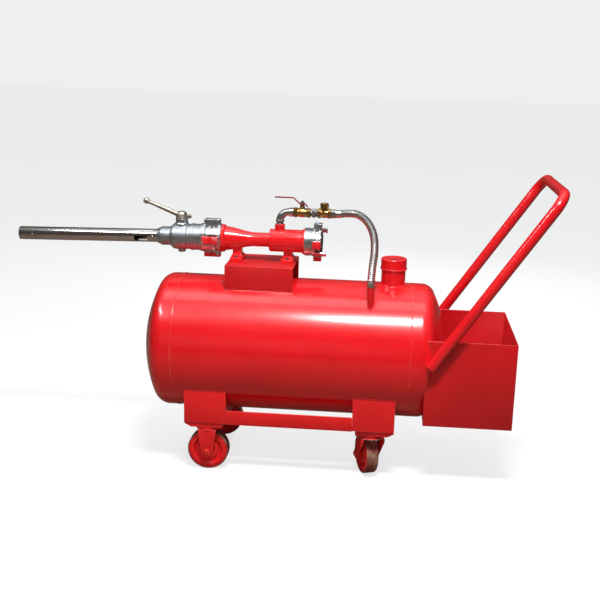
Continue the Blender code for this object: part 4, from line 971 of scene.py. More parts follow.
# ---------------------------------------------------------------- couplings
@dataclass
class ClawHalf:
    """One half of a claw coupling, with its seal."""

    node: str
    seal: str
    body: str
    direction: float
    claw_angle: float
    collar: float = 0.0
    proud: float = 0.003
    length: float = 0.033
    hub_length: float = 0.014
    hub_radius: float = 0.0525
    groove_radius: float = 0.0425
    rim_radius: float = 0.0465
    rim: float = 0.009
    bore: float = 0.030
    seal_radius: float = 0.0405
    seal_depth: float = 0.006
    lug_radius: float = 0.0705
    lug_half_width: float = 0.013
    claw_inner: float = 0.0475
    claw_outer: float = 0.0535
    claw_half_angle: float = 15.0
    reach: float = 0.0213
    lug_reach: float = 0.0026

    def back(self) -> float:
        """Place of the coupling's back along X."""
        low, high, _ = span(self.node)
        return low.x + self.collar if self.direction > 0 else high.x

    def along(self, profile: Outline) -> Outline:
        """A profile measured from the back, laid along the coupling's direction."""
        return [(self.back() + self.direction * u, r) for u, r in profile]

    def claw(self, name: str, start: float, end: float, inner: float, outer: float,
             half: float, angle: float, height: float) -> bpy.types.Object:
        """A piece of a ring, between two places along the coupling.

        Args:
            name: Name of the piece.
            start: Where it starts, measured from the back.
            end: Where it ends, measured from the back.
            inner: Inner radius.
            outer: Outer radius.
            half: Half of the angle that it spans, in degrees.
            angle: Turn about the coupling's axis, in degrees.
            height: Height of the couplings' axis above the floor.

        Returns:
            The piece.
        """
        outline = arc((0, 0), outer, 90.0 + half, 90.0 - half, 8) + arc((0, 0), inner, 90.0 - half,
                                                                        90.0 + half, 8)
        middle = self.back() + self.direction * (start + end) / 2
        spin = Matrix.Rotation(math.radians(angle), 4, "X")
        lay = Matrix.Rotation(math.radians(90), 4, "Z")
        return prism(name, outline, end - start, Matrix.Translation((middle, 0, height)) @ spin @ lay, 0.0008)

    def build(self, shop: Workshop, height: float) -> None:
        """Models the half at a height above the floor, and its seal.

        Args:
            shop: Seats each finished piece on its body.
            height: Height of the couplings' axis above the floor.
        """
        face = self.length
        profile = [(0.0, self.bore), (0.0, self.hub_radius - 0.0015), (0.0015, self.hub_radius),
                   (self.hub_length - 0.0015, self.hub_radius), (self.hub_length, self.hub_radius - 0.0015),
                   (self.hub_length + 0.0015, self.groove_radius), (face - self.rim, self.groove_radius),
                   (face - self.rim, self.rim_radius - 0.0008), (face - self.rim + 0.0008, self.rim_radius),
                   (face - 0.0010, self.rim_radius), (face, self.rim_radius - 0.0010),
                   (face, self.seal_radius + GAP), (face - self.seal_depth, self.seal_radius + GAP),
                   (face - self.seal_depth, self.bore)]
        if self.collar:
            ring = self.hub_radius - 0.001
            profile = [(-self.collar, self.bore), (-self.collar, ring - 0.001), (-self.collar + 0.001, ring),
                       (-0.0045, ring), (-0.0030, ring - 0.003), (0.0, ring - 0.003)] + profile[1:]
        half = turned(self.node + "_fine", self.along(profile), Axis.X, (0, 0, height), 96)
        for i in range(4):
            ends = sorted((self.back() + self.direction * 0.006,
                           self.back() + self.direction * (face + self.lug_reach)))
            spin = Matrix.Translation((0, 0, height)) @ Matrix.Rotation(math.radians(90 * i), 4, "X")
            lug = block("tool", (ends[0], -self.lug_half_width, self.groove_radius - 0.002),
                        (ends[1], self.lug_half_width, self.lug_radius), 0.0022, spin)
            combined(half, lug, "UNION")
        for i in range(2):
            angle = self.claw_angle + 180 * i
            tip = face + self.reach
            combined(half, self.claw("tool", self.hub_length - 0.006, tip, self.claw_inner, self.claw_outer,
                                     self.claw_half_angle, angle, height), "UNION")
            combined(half, self.claw("tool", tip - 0.0051, tip - 0.0004, self.groove_radius + 0.001,
                                     (self.claw_inner + self.claw_outer) / 2, self.claw_half_angle - 1.0,
                                     angle, height), "UNION")
        smoothed(half)
        shop.seat(half, Finish.CLAW, self.body, ALLOY, [self.node])
        low = face - self.seal_depth + GAP
        top = face + self.proud
        ring = [(low, self.bore), (low, self.seal_radius), (top - 0.0016, self.seal_radius),
                (top - 0.0005, self.seal_radius - 0.0005), (top, self.seal_radius - 0.0018),
                (top, self.bore + 0.0012), (top - 0.0010, self.bore)]
        seal = turned(self.seal + "_fine", self.along(ring), Axis.X, (0, 0, height), 80)
        shop.seat(seal, Finish.SEAL, self.body, BLACK, [self.seal])


# ---------------------------------------------------------------- eductor
@dataclass
class Eductor:
    """Eductor body with its jet, saddle, feet and bolts."""

    bore: float = 0.030
    flange_radius: float = 0.0510
    flange: float = 0.010
    cone_radius: float = 0.0445
    cone_length: float = 0.1035
    throat_radius: float = 0.0260
    throat_length: float = 0.0625
    chamber_radius: float = 0.0418
    chamber_flange: float = 0.0075
    boss_radius: float = 0.0185
    foot_half: float = 0.018
    sole_half: float = 0.033
    leg_half: float = 0.0165

    def build(self, shop: Workshop, height: float) -> None:
        """Models and dresses the eductor.

        Args:
            shop: Seats each finished piece on its body.
            height: Height of the couplings' axis above the floor.
        """
        low, high, _ = span("ejector_body")
        x = low.x
        far = high.x
        throat = x + self.flange + self.cone_length
        chamber = throat + self.throat_length
        profile = [(x, self.bore), (x, self.flange_radius - 0.001), (x + 0.001, self.flange_radius),
                   (x + self.flange - 0.001, self.flange_radius),
                   (x + self.flange, self.flange_radius - 0.001)]
        profile += arc((x + self.flange + 0.006, self.cone_radius + 0.006), 0.006, 180.0, 262.0, 6)
        cone = self.cone_length - 0.0063
        for i in range(1, 9):
            t = i / 8
            eased = t - 0.10 * math.sin(math.pi * t * 2) / 2
            profile.append((x + self.flange + 0.0063 + cone * t,
                            self.cone_radius + (self.throat_radius - self.cone_radius) * eased))
        profile += arc((chamber - 0.004, self.throat_radius + 0.006), 0.006, 270.0, 350.0, 5)
        profile += arc((chamber + 0.005, self.chamber_radius - 0.004), 0.004, 180.0, 90.0, 5)
        edge = far - self.chamber_flange
        profile += [(edge - 0.003, self.chamber_radius), (edge, self.chamber_radius + 0.003)]
        profile += [(edge, 0.0465), (edge + 0.001, 0.0475), (far - 0.001, 0.0475), (far, 0.0465),
                    (far, self.bore),
                    (far - 0.012, self.bore + 0.004), (chamber + 0.012, self.bore + 0.004), (chamber, 0.019),
                    (throat, 0.019)]
        body = turned("ejector_body_fine", profile, Axis.X, (0, 0, height), 96)
        boss_x = span("suction_nipple")[2].x
        top = high.z
        start = height + self.bore + 0.006
        boss = [(start, 0.0), (start, self.boss_radius), (top - 0.0015, self.boss_radius),
                (top, self.boss_radius - 0.0015), (top, 0.0)]
        combined(body, turned("tool", boss, Axis.Z, (boss_x, 0, 0), 48), "UNION")
        for node in ("ejector_foot_front", "ejector_foot_rear"):
            self.build_foot(shop, body, node, height)
        smoothed(body, 30.0)
        shop.seat(body, Finish.TANK, "root", RED, ["ejector_body"])
        self.build_inside(shop, height)
        saddle = refined("saddle_bracket_fine", "saddle_bracket", 0.0014)
        # The saddle takes the darker red, which is painted shade.
        shop.seat(saddle, Finish.SHEET, "root", FRAME_RED, ["saddle_bracket"])

    def build_foot(self, shop: Workshop, body: bpy.types.Object, node: str, height: float) -> None:
        """Joins one foot to the eductor, and models the pad and bolts below it.

        Args:
            shop: Seats each finished piece on its body.
            body: The eductor's body, which takes the foot.
            node: Name of the foot's CAD node.
            height: Height of the couplings' axis above the floor.
        """
        low, high, middle = span(node)
        sole_z = high.z + GAP
        half = self.foot_half
        sole = block("tool", (middle.x - half, -self.sole_half, sole_z),
                     (middle.x + half, self.sole_half, sole_z + 0.007),
                     0.0012)
        leg = block("tool", (middle.x - half + 0.002, -self.leg_half, sole_z + 0.004),
                    (middle.x + half - 0.002, self.leg_half, height - self.throat_radius * 0.6), 0.0)
        if middle.x > span("ejector_body")[2].x:
            combined(body, leg, "UNION")
        else:
            inner = [(middle.x - 0.03, 0.0), (middle.x - 0.03, 0.030), (middle.x + 0.03, 0.018),
                     (middle.x + 0.03, 0.0)]
            combined(leg, turned("tool", inner, Axis.X, (0, 0, height), 48), "DIFFERENCE")
            combined(body, leg, "UNION")
        combined(body, sole, "UNION")
        pad = block(node + "_fine", low, high, 0.0015)
        shop.seat(pad, Finish.FRAME, "root", FRAME_RED, [node])
        parts = []
        for side in (-1.0, 1.0):
            spot = (middle.x, side * 0.0395, high.z)
            washer = [(0.0, 0.0), (0.0, 0.0062), (0.0012, 0.0062), (0.0012, 0.0)]
            parts.append(turned("washer", washer, Axis.Z, spot, 32))
            parts.append(hexagon("head", 0.0095, 0.0012, 0.0068, Axis.Z, spot))
        bolts = gathered(node + "_bolts", parts)
        shop.seat(bolts, Finish.ZINC, "root", STEEL)

    def build_inside(self, shop: Workshop, height: float) -> None:
        """Models the eductor's water jet.

        Args:
            shop: Seats each finished piece on its body.
            height: Height of the couplings' axis above the floor.
        """
        low, high, _ = span("ejector_jet")
        outer = (high.z - low.z) / 2
        mouth = high.x
        profile = [(mouth, outer), (mouth - 0.012, outer), (mouth - 0.014, outer - 0.008), (low.x, 0.0135),
                   (low.x, 0.011), (mouth - 0.004, outer - 0.008)]
        jet = turned("ejector_jet_fine", profile, Axis.X, (0, 0, height), 64)
        shop.seat(jet, Finish.BRASS, "root", BRASS_SLOT, ["ejector_jet"])


# ---------------------------------------------------------------- gun
@dataclass
class FoamGun:
    """Adaptor, ball valve with its handle, collar and foam tube."""

    bore: float = 0.020
    neck_radius: float = 0.0225
    stem_radius: float = 0.008
    handle_rise: float = 21.2
    handle_length: float = 0.140
    droop: float = 1.34
    tube_radius: float = 0.0245
    tube_wall: float = 0.0015
    slot_length: float = 0.049
    slot_height: float = 0.022
    slot_tilt: float = 22.0

    def build(self, shop: Workshop, height: float) -> None:
        """Models and dresses the gun.

        Args:
            shop: Seats each finished piece on its body.
            height: Height of the couplings' axis above the floor.
        """
        self.build_adaptor(shop, height)
        self.build_valve(shop, height)
        self.build_handle(shop)
        self.build_tube(shop, height)

    def build_adaptor(self, shop: Workshop, height: float) -> None:
        """Models the threaded adaptor between coupling and valve.

        Args:
            shop: Seats each finished piece on its body.
            height: Height of the couplings' axis above the floor.
        """
        low, high, _ = span("gun_adaptor")
        ring = (high.z - low.z) / 2
        plain = ring - 0.003
        x = high.x
        profile = [(x, 0.030), (x, ring - 0.001), (x - 0.001, ring), (x - 0.0055, ring),
                   (x - 0.0065, ring - 0.001),
                   (x - 0.0085, plain)]
        for i in range(4):
            start = x - 0.0105 - 0.0042 * i
            profile += [(start, plain), (start - 0.0008, plain - 0.0008), (start - 0.0016, plain)]
        profile += [(low.x + 0.0110, plain), (low.x + 0.0095, ring - 0.0015), (low.x + 0.0015, ring - 0.0015),
                    (low.x, plain - 0.001), (low.x, self.bore)]
        adaptor = turned("gun_adaptor_fine", profile, Axis.X, (0, 0, height), 96)
        shop.seat(adaptor, Finish.CAST, "gun", ALLOY, ["gun_adaptor"])

    def build_valve(self, shop: Workshop, height: float) -> None:
        """Models the ball valve's body and ball.

        Args:
            shop: Seats each finished piece on its body.
            height: Height of the couplings' axis above the floor.
        """
        low, high, _ = span("gun_valve_body")
        ball_low, ball_high, ball = span("gun_valve_ball")
        x = high.x
        radius = 0.0475
        profile = [(x, self.bore), (x, radius - 0.002), (x - 0.002, radius - 0.0005),
                   (x - 0.010, radius - 0.0005),
                   (x - 0.0115, radius - 0.002), (x - 0.0135, radius - 0.002), (x - 0.016, radius)]
        profile += [(x - 0.058, radius + 0.0008), (x - 0.062, radius - 0.0005)]
        profile += arc((x - 0.062, radius - 0.0105), 0.010, 90.0, 165.0, 6)
        profile += [(low.x + 0.001, 0.0385), (low.x, 0.0375), (low.x, self.bore)]
        body = turned("gun_valve_body_fine", profile, Axis.X, (0, 0, height), 96)
        top = high.z
        neck = [(height + 0.036, 0.0), (height + 0.036, self.neck_radius + 0.004),
                (height + 0.049, self.neck_radius + 0.003), (height + 0.053, self.neck_radius),
                (top - 0.001, self.neck_radius), (top, self.neck_radius - 0.001), (top, 0.0)]
        combined(body, turned("tool", neck, Axis.Z, (ball.x, 0, 0), 48), "UNION")
        drain = [(low.z, 0.0), (low.z, 0.0125), (low.z + 0.001, 0.0135), (low.z + 0.007, 0.0135),
                 (low.z + 0.009, 0.0155), (height - 0.036, 0.0165), (height - 0.036, 0.0)]
        combined(body, turned("tool", drain, Axis.Z, (ball.x, 0, 0), 40), "UNION")
        bore = [(height, 0.0), (height, self.stem_radius + 0.0006), (top + 0.01, self.stem_radius + 0.0006),
                (top + 0.01, 0.0)]
        combined(body, turned("tool", bore, Axis.Z, (ball.x, 0, 0), 32), "DIFFERENCE")
        sphere = (ball_high.y - ball_low.y) / 2
        room = sphere + 0.0015
        seat = [(height - room * math.cos(math.pi * i / 24), room * math.sin(math.pi * i / 24))
                for i in range(1, 24)]
        seat = [(height - room, 0.0)] + seat + [(height + room, 0.0)]
        combined(body, turned("tool", seat, Axis.Z, (ball.x, 0, 0), 48), "DIFFERENCE")
        smoothed(body, 28.0)
        shop.seat(body, Finish.CAST, "gun", ALLOY, ["gun_valve_body"])
        round_part = [(height - sphere * math.cos(math.pi * i / 24), sphere * math.sin(math.pi * i / 24))
                      for i in range(1, 24)]
        profile = [(height - sphere, 0.0)] + round_part + [(height + sphere, 0.0)]
        valve_ball = turned("gun_valve_ball_fine", profile, Axis.Z, (ball.x, 0, 0), 48)
        stem = [(height + sphere - 0.004, 0.0), (height + sphere - 0.004, self.stem_radius),
                (ball_high.z, self.stem_radius), (ball_high.z, 0.0)]
        combined(valve_ball, turned("tool", stem, Axis.Z, (ball.x, 0, 0), 32), "UNION")
        way = [(ball.x - 0.05, 0.0), (ball.x - 0.05, self.bore - 0.001), (ball.x + 0.05, self.bore - 0.001),
               (ball.x + 0.05, 0.0)]
        combined(valve_ball, turned("tool", way, Axis.X, (0, 0, height), 40), "DIFFERENCE")
        smoothed(valve_ball)
        shop.seat(valve_ball, Finish.STAINLESS, "gun_handle", CHROME, ["gun_valve_ball"])

    def build_handle(self, shop: Workshop) -> None:
        """Models the valve's handle with its boss, bar, knob and clamp screw.

        Args:
            shop: Seats each finished piece on its body.
        """
        low, high, _ = span("gun_valve_handle")
        _, _, ball = span("gun_valve_ball")
        spot = (ball.x, 0, 0)
        radius = 0.0205
        base = low.z
        top = high.z if high.z - base < 0.03 else base + 0.0257
        dome = [(base, 0.0), (base, radius + 0.0015), (base + 0.006, radius + 0.001)]
        dome += [(base + 0.008 + (top - base - 0.008) * math.sin(math.radians(a)),
                  0.0085 + (radius - 0.0085) * math.cos(math.radians(a))) for a in range(0, 91, 15)]
        dome += [(top, 0.0)]
        handle = turned("gun_valve_handle_fine", dome, Axis.Z, spot, 64)
        rise = math.radians(self.handle_rise)
        along = Matrix.Translation((ball.x, 0, base + 0.008)) @ Matrix.Rotation(-math.pi / 2 + rise, 4, "Y")
        end = self.handle_length
        bar = [(0.010, 0.0), (0.010, 0.0100), (0.030, 0.0092), (end - 0.012, 0.0066)]
        bar += [(end - 0.008, 0.0088)]
        bar += [(end + 0.0015 - 0.0115 * math.cos(math.radians(a)), 0.0115 * math.sin(math.radians(a)))
                for a in range(50, 180, 13)]
        bar += [(end + 0.0130, 0.0)]
        combined(handle, turned("tool", bar, Axis.Z, (0, 0, 0), 40, along), "UNION")
        ear = block("tool", (ball.x + 0.010, -0.009, base), (ball.x + 0.030, 0.009, base + 0.013), 0.002)
        combined(handle, ear, "UNION")
        socket = [(base - 0.01, 0.0), (base - 0.01, self.stem_radius + GAP),
                  (base + 0.0120, self.stem_radius + GAP), (base + 0.0120, 0.0)]
        combined(handle, turned("tool", socket, Axis.Z, spot, 32), "DIFFERENCE")
        smoothed(handle, 28.0)
        shop.seat(handle, Finish.LEVER, "gun_handle", ALLOY, ["gun_valve_handle"])
        low, high, middle = span("gun_valve_screw")
        head = hexagon("gun_valve_screw_fine", 0.0112, high.x - 0.0050, high.x, Axis.X, (0, 0, middle.z))
        shop.seat(head, Finish.ZINC, "gun_handle", STEEL, ["gun_valve_screw"])

    def build_tube(self, shop: Workshop, height: float) -> None:
        """Models the collar, the foam tube with its air slots, the jet and the rivets.

        Args:
            shop: Seats each finished piece on its body.
            height: Height of the couplings' axis above the floor.
        """
        pivot = Matrix.Translation((span("gun_valve_body")[0].x - 0.0003, 0, height))
        lean = pivot @ Matrix.Rotation(math.radians(-self.droop), 4, "Y") @ pivot.inverted()
        low, high, _ = span("gun_collar")
        x = high.x
        end = low.x
        radius = 0.0345
        fit = self.tube_radius + GAP
        profile = [(x, self.bore), (x, radius - 0.001), (x - 0.001, radius)]
        for i in range(3):
            start = x - 0.010 - 0.006 * i
            profile += [(start, radius), (start - 0.0008, radius - 0.0008), (start - 0.0024, radius - 0.0008),
                        (start - 0.0032, radius)]
        profile += [(x - 0.034, radius), (x - 0.036, radius - 0.001), (end + 0.004, fit + 0.003),
                    (end, fit + 0.0015), (end, fit), (x - 0.0045, fit), (x - 0.0045, self.bore)]
        collar = turned("gun_collar_fine", profile, Axis.X, (0, 0, height), 80, lean)
        shop.seat(collar, Finish.CAST, "gun", ALLOY, ["gun_collar"])
        low, high, _ = span("gun_tube")
        inner = self.tube_radius - self.tube_wall
        muzzle = low.x + self.tube_radius * math.sin(math.radians(self.droop))
        start = high.x - 0.0006
        profile = [(start, inner), (start, self.tube_radius), (muzzle + 0.0008, self.tube_radius),
                   (muzzle, self.tube_radius - 0.0005), (muzzle, inner)]
        tube = turned("gun_tube_fine", profile, Axis.X, (0, 0, height), 96, lean)
        slot_x = end - 0.0355
        axis = Matrix.Translation((0, 0, height))
        tilt = lean @ axis @ Matrix.Rotation(math.radians(self.slot_tilt), 4, "X") @ axis.inverted()
        window = block("tool", (slot_x - self.slot_length, -0.05, height - self.slot_height / 2),
                       (slot_x, 0.05, height + self.slot_height / 2), 0.0, tilt)
        bevelled(window, 0.004, 3)
        combined(tube, window, "DIFFERENCE")
        smoothed(tube)
        shop.seat(tube, Finish.STAINLESS, "gun", CHROME, ["gun_tube"])
        rivets = []
        for rivet_x in (muzzle + 0.053, slot_x + 0.020):
            for side in (-1.0, 1.0):
                dome = [(0.0, 0.0), (0.0, 0.0034), (0.0008, 0.0030), (0.0016, 0.0018), (0.0019, 0.0)]
                place = lean @ Matrix.Translation((rivet_x, side * (self.tube_radius - 0.0003), height))
                rivets.append(turned("rivet", dome, Axis.Z, (0, 0, 0), 20,
                                     place @ Matrix.Rotation(-side * math.pi / 2, 4, "X")))
        shop.seat(gathered("gun_tube_rivets", rivets), Finish.ZINC, "gun", CHROME)
        low, high, _ = span("gun_jet")
        outer = inner - GAP
        back = high.x - 0.0005
        profile = [(back, outer), (back - 0.030, outer), (back - 0.034, outer - 0.006),
                   (back - 0.056, 0.0105),
                   (back - 0.056, 0.0080), (back, outer - 0.006)]
        jet = turned("gun_jet_fine", profile, Axis.X, (0, 0, height), 56, lean)
        shop.seat(jet, Finish.BRASS, "gun", BRASS_SLOT, ["gun_jet"])


# ---------------------------------------------------------------- suction line
@dataclass
class SuctionLine:
    """Nipple, elbow, brass valve, check valve and hose above the eductor."""

    bore: float = 0.0075
    pipe_radius: float = 0.014
    bend_radius: float = 0.033
    hose_radius: float = 0.0148
    hose_pitch: float = 0.0075
    hose_straight: float = 0.012
    hose_points: tuple[tuple[float, float, float], ...] = (
        (0.1425, 0.0000, 0.9478), (0.1723, -0.0017, 0.9508), (0.2093, -0.0115, 0.9520),
        (0.2412, -0.0274, 0.9390), (0.2654, -0.0495, 0.9134), (0.2802, -0.0767, 0.8794),
        (0.2843, -0.1095, 0.8350), (0.2803, -0.1367, 0.7897), (0.2775, -0.1520, 0.7457),
        (0.2775, -0.1540, 0.7168))

    def threads(self, start: float, end: float, radius: float, pitch: float = 0.0018) -> Outline:
        """A run of thread ridges between two places on a profile.

        Args:
            start: Start of the run along the profile.
            end: End of the run along the profile.
            radius: Radius over the ridges.
            pitch: Distance between ridges.

        Returns:
            The profile's points.
        """
        count = max(1, int(abs(end - start) / pitch))
        step = (end - start) / count
        ridge: Outline = []
        for i in range(count):
            ridge += [(start + step * i, radius - 0.0011), (start + step * (i + 0.5), radius)]
        return ridge + [(end, radius - 0.0011)]

    def build(self, shop: Workshop, tank: FoamTank) -> None:
        """Models and dresses the line from the eductor's boss to the tank's socket.

        Args:
            shop: Seats each finished piece on its body.
            tank: The tank that the line ends on.
        """
        height = span("hose_nut")[2].z
        self.build_pipe(shop, height)
        self.build_valve(shop, height)
        self.build_check(shop, height)
        self.build_hose(shop, height, tank)

    def build_pipe(self, shop: Workshop, height: float) -> None:
        """Models the nipple and the elbow with its union.

        Args:
            shop: Seats each finished piece on its body.
            height: Height of the suction line's axis above the floor.
        """
        low, high, middle = span("suction_nipple")
        outer = (high.x - low.x) / 2
        profile = [(low.z, self.bore)] + self.threads(low.z, high.z, outer) + [(high.z, self.bore)]
        nipple = turned("suction_nipple_fine", profile, Axis.Z, (middle.x, 0, 0), 48)
        shop.seat(nipple, Finish.ZINC, "root", STEEL, ["suction_nipple"])
        start, end, _ = span("suction_elbow")
        corner = arc((middle.x + self.bend_radius, height - self.bend_radius), self.bend_radius, 180.0, 90.0,
                     14)
        points = [Vector((middle.x, 0, start.z))] + [Vector((x, 0, z)) for x, z in corner]
        points.append(Vector((end.x - 0.004, 0, height)))
        elbow = piped("suction_elbow_fine", points, [self.pipe_radius] * len(points), 8)
        rim = [(start.z, 0.0), (start.z, self.pipe_radius + 0.0010),
               (start.z + 0.001, self.pipe_radius + 0.002),
               (start.z + 0.0065, self.pipe_radius + 0.002), (start.z + 0.0080, self.pipe_radius),
               (start.z + 0.0080, 0.0)]
        combined(elbow, turned("tool", rim, Axis.Z, (middle.x, 0, 0), 48), "UNION")
        union_x = middle.x + self.bend_radius
        nut = [(union_x, 0.0), (union_x, self.pipe_radius), (union_x + 0.002, 0.0165),
               (end.x - 0.0015, 0.0165),
               (end.x, 0.0150), (end.x, 0.0)]
        combined(elbow, turned("tool", nut, Axis.X, (0, 0, height), 48), "UNION")
        smoothed(elbow, 30.0)
        shop.seat(elbow, Finish.ZINC, "root", STEEL, ["suction_elbow"])

    def build_valve(self, shop: Workshop, height: float) -> None:
        """Models the brass ball valve with its lever and nut.

        Args:
            shop: Seats each finished piece on its body.
            height: Height of the suction line's axis above the floor.
        """
        low, high, middle = span("suction_valve_body")
        waist = 0.0145
        profile = [(low.x + 0.010, 0.0), (low.x + 0.010, waist), (middle.x - 0.014, waist)]
        profile += [(middle.x + 0.0150 * math.sin(math.radians(a)),
                     waist + 0.0030 * math.cos(math.radians(a)))
                    for a in range(-60, 61, 12)]
        profile += [(middle.x + 0.014, waist), (high.x - 0.010, waist), (high.x - 0.010, 0.0)]
        body = turned("suction_valve_body_fine", profile, Axis.X, (0, 0, height), 64)
        for start, end in ((low.x, low.x + 0.0145), (high.x - 0.0145, high.x)):
            combined(body, hexagon("tool", 0.0318, start, end, Axis.X, (0, 0, height)), "UNION")
        neck = [(height + 0.010, 0.0), (height + 0.010, 0.0105), (height + 0.020, 0.0100),
                (height + 0.021, 0.0085),
                (high.z, 0.0085), (high.z, 0.0)]
        combined(body, turned("tool", neck, Axis.Z, (middle.x, 0, 0), 40), "UNION")
        inner = [(low.x - 0.01, 0.0), (low.x - 0.01, self.bore), (high.x + 0.01, self.bore),
                 (high.x + 0.01, 0.0)]
        combined(body, turned("tool", inner, Axis.X, (0, 0, height), 32), "DIFFERENCE")
        ball_low, ball_high, _ = span("suction_valve_ball")
        sphere = (ball_high.y - ball_low.y) / 2
        hollow = [(height - (sphere + 0.0006) * math.cos(math.pi * i / 12),
                   (sphere + 0.0006) * math.sin(math.pi * i / 12)) for i in range(1, 12)]
        hollow = [(height - sphere - 0.0006, 0.0)] + hollow + [(height + sphere + 0.0006, 0.0)]
        combined(body, turned("tool", hollow, Axis.Z, (middle.x, 0, 0), 32), "DIFFERENCE")
        stem_hole = [(height, 0.0), (height, 0.0048), (high.z + 0.01, 0.0048), (high.z + 0.01, 0.0)]
        combined(body, turned("tool", stem_hole, Axis.Z, (middle.x, 0, 0), 24), "DIFFERENCE")
        smoothed(body, 28.0)
        shop.seat(body, Finish.BRASS, "root", BRASS_SLOT, ["suction_valve_body"])
        round_part = [(height - sphere * math.cos(math.pi * i / 16), sphere * math.sin(math.pi * i / 16))
                      for i in range(1, 16)]
        ball = turned("suction_valve_ball_fine", [(height - sphere, 0.0)] + round_part + [(height + sphere,
                                                                                           0.0)],
                      Axis.Z, (middle.x, 0, 0), 32)
        stem = [(height + sphere - 0.002, 0.0), (height + sphere - 0.002, 0.0045),
                (ball_high.z - 0.0008, 0.0045),
                (ball_high.z, 0.0038), (ball_high.z, 0.0)]
        combined(ball, turned("tool", stem, Axis.Z, (middle.x, 0, 0), 24), "UNION")
        way = [(middle.x - 0.02, 0.0), (middle.x - 0.02, 0.0067), (middle.x + 0.02, 0.0067),
               (middle.x + 0.02, 0.0)]
        combined(ball, turned("tool", way, Axis.X, (0, 0, height), 24), "DIFFERENCE")
        smoothed(ball)
        shop.seat(ball, Finish.STAINLESS, "suction_lever", CHROME, ["suction_valve_ball"])
        lever = refined("suction_valve_lever_fine", "suction_valve_lever", 0.0009)
        shop.seat(lever, Finish.SLEEVE, "suction_lever", STEEL, ["suction_valve_lever"])
        low, high, middle = span("suction_valve_nut")
        nut = hexagon("suction_valve_nut_fine", 0.0142, low.z, high.z, Axis.Z, (middle.x, 0, 0), 0.0048)
        shop.seat(nut, Finish.ZINC, "suction_lever", STEEL, ["suction_valve_nut"])

    def build_check(self, shop: Workshop, height: float) -> None:
        """Models the link nipple, the check valve and the hose nut.

        Args:
            shop: Seats each finished piece on its body.
            height: Height of the suction line's axis above the floor.
        """
        low, high, _ = span("link_nipple")
        spot = (0, 0, height)
        profile = [(low.x, self.bore)] + self.threads(low.x, low.x + 0.0065, self.pipe_radius)
        profile += self.threads(high.x - 0.0065, high.x, self.pipe_radius) + [(high.x, self.bore)]
        link = turned("link_nipple_fine", profile, Axis.X, spot, 48)
        grip = hexagon("tool", 0.0300, low.x + 0.0062, high.x - 0.0062, Axis.X, spot, self.bore)
        combined(link, grip, "UNION")
        shop.seat(smoothed(link, 28.0), Finish.ZINC, "root", STEEL, ["link_nipple"])
        low, high, middle = span("check_valve_body")
        waist = 0.0155
        body = turned("check_valve_body_fine",
                      [(low.x + 0.009, 0.0), (low.x + 0.009, waist), (middle.x - 0.010, waist + 0.0005),
                       (middle.x, waist + 0.0015), (middle.x + 0.010, waist + 0.0005),
                       (high.x - 0.009, waist),
                       (high.x - 0.009, 0.0)], Axis.X, spot, 64)
        for start, end in ((low.x, low.x + 0.0125), (high.x - 0.0125, high.x)):
            combined(body, hexagon("tool", 0.0318, start, end, Axis.X, spot), "UNION")
        neck = [(height, 0.0), (height, 0.0150), (high.z, 0.0150), (high.z, 0.0)]
        combined(body, turned("tool", neck, Axis.Z, (middle.x, 0, 0), 48), "UNION")
        inner = [(low.x - 0.01, 0.0), (low.x - 0.01, self.bore), (high.x + 0.01, self.bore),
                 (high.x + 0.01, 0.0)]
        combined(body, turned("tool", inner, Axis.X, spot, 32), "DIFFERENCE")
        room = [(height - 0.0095, 0.0), (height - 0.0095, 0.0125), (high.z + 0.01, 0.0125),
                (high.z + 0.01, 0.0)]
        combined(body, turned("tool", room, Axis.Z, (middle.x, 0, 0), 36), "DIFFERENCE")
        shop.seat(smoothed(body, 28.0), Finish.BRASS, "root", BRASS_SLOT, ["check_valve_body"])
        low, high, middle = span("check_valve_cap")
        plug = [(low.z, 0.0), (low.z, 0.0121), (low.z + 0.004, 0.0121), (low.z + 0.004, 0.0155),
                (low.z + 0.008, 0.0155), (low.z + 0.008, 0.0)]
        cap = turned("check_valve_cap_fine", plug, Axis.Z, (middle.x, 0, 0), 48)
        hexa = hexagon("tool", 0.0272, low.z + 0.0065, high.z - 0.0020, Axis.Z, (middle.x, 0, 0))
        combined(cap, hexa, "UNION")
        crown = [(high.z - 0.0030, 0.0), (high.z - 0.0030, 0.0110), (high.z - 0.0010, 0.0095),
                 (high.z, 0.0060),
                 (high.z, 0.0)]
        combined(cap, turned("tool", crown, Axis.Z, (middle.x, 0, 0), 40), "UNION")
        shop.seat(smoothed(cap, 28.0), Finish.BRASS, "root", BRASS_SLOT, ["check_valve_cap"])
        flap = refined("check_valve_flap_fine", "check_valve_flap", 0.0003, 1)
        shop.seat(flap, Finish.BRASS, "flap", BRASS_SLOT, ["check_valve_flap"])
        low, high, _ = span("hose_nut")
        nut = hexagon("hose_nut_fine", 0.0292, low.x, low.x + 0.0150, Axis.X, spot)
        ferrule = [(low.x + 0.0130, 0.0), (low.x + 0.0130, 0.0142), (low.x + 0.0160, 0.0150),
                   (high.x - 0.001, 0.0150),
                   (high.x, 0.0140), (high.x, 0.0)]
        combined(nut, turned("tool", ferrule, Axis.X, spot, 48), "UNION")
        shop.seat(smoothed(nut, 28.0), Finish.ZINC, "root", STEEL, ["hose_nut"])

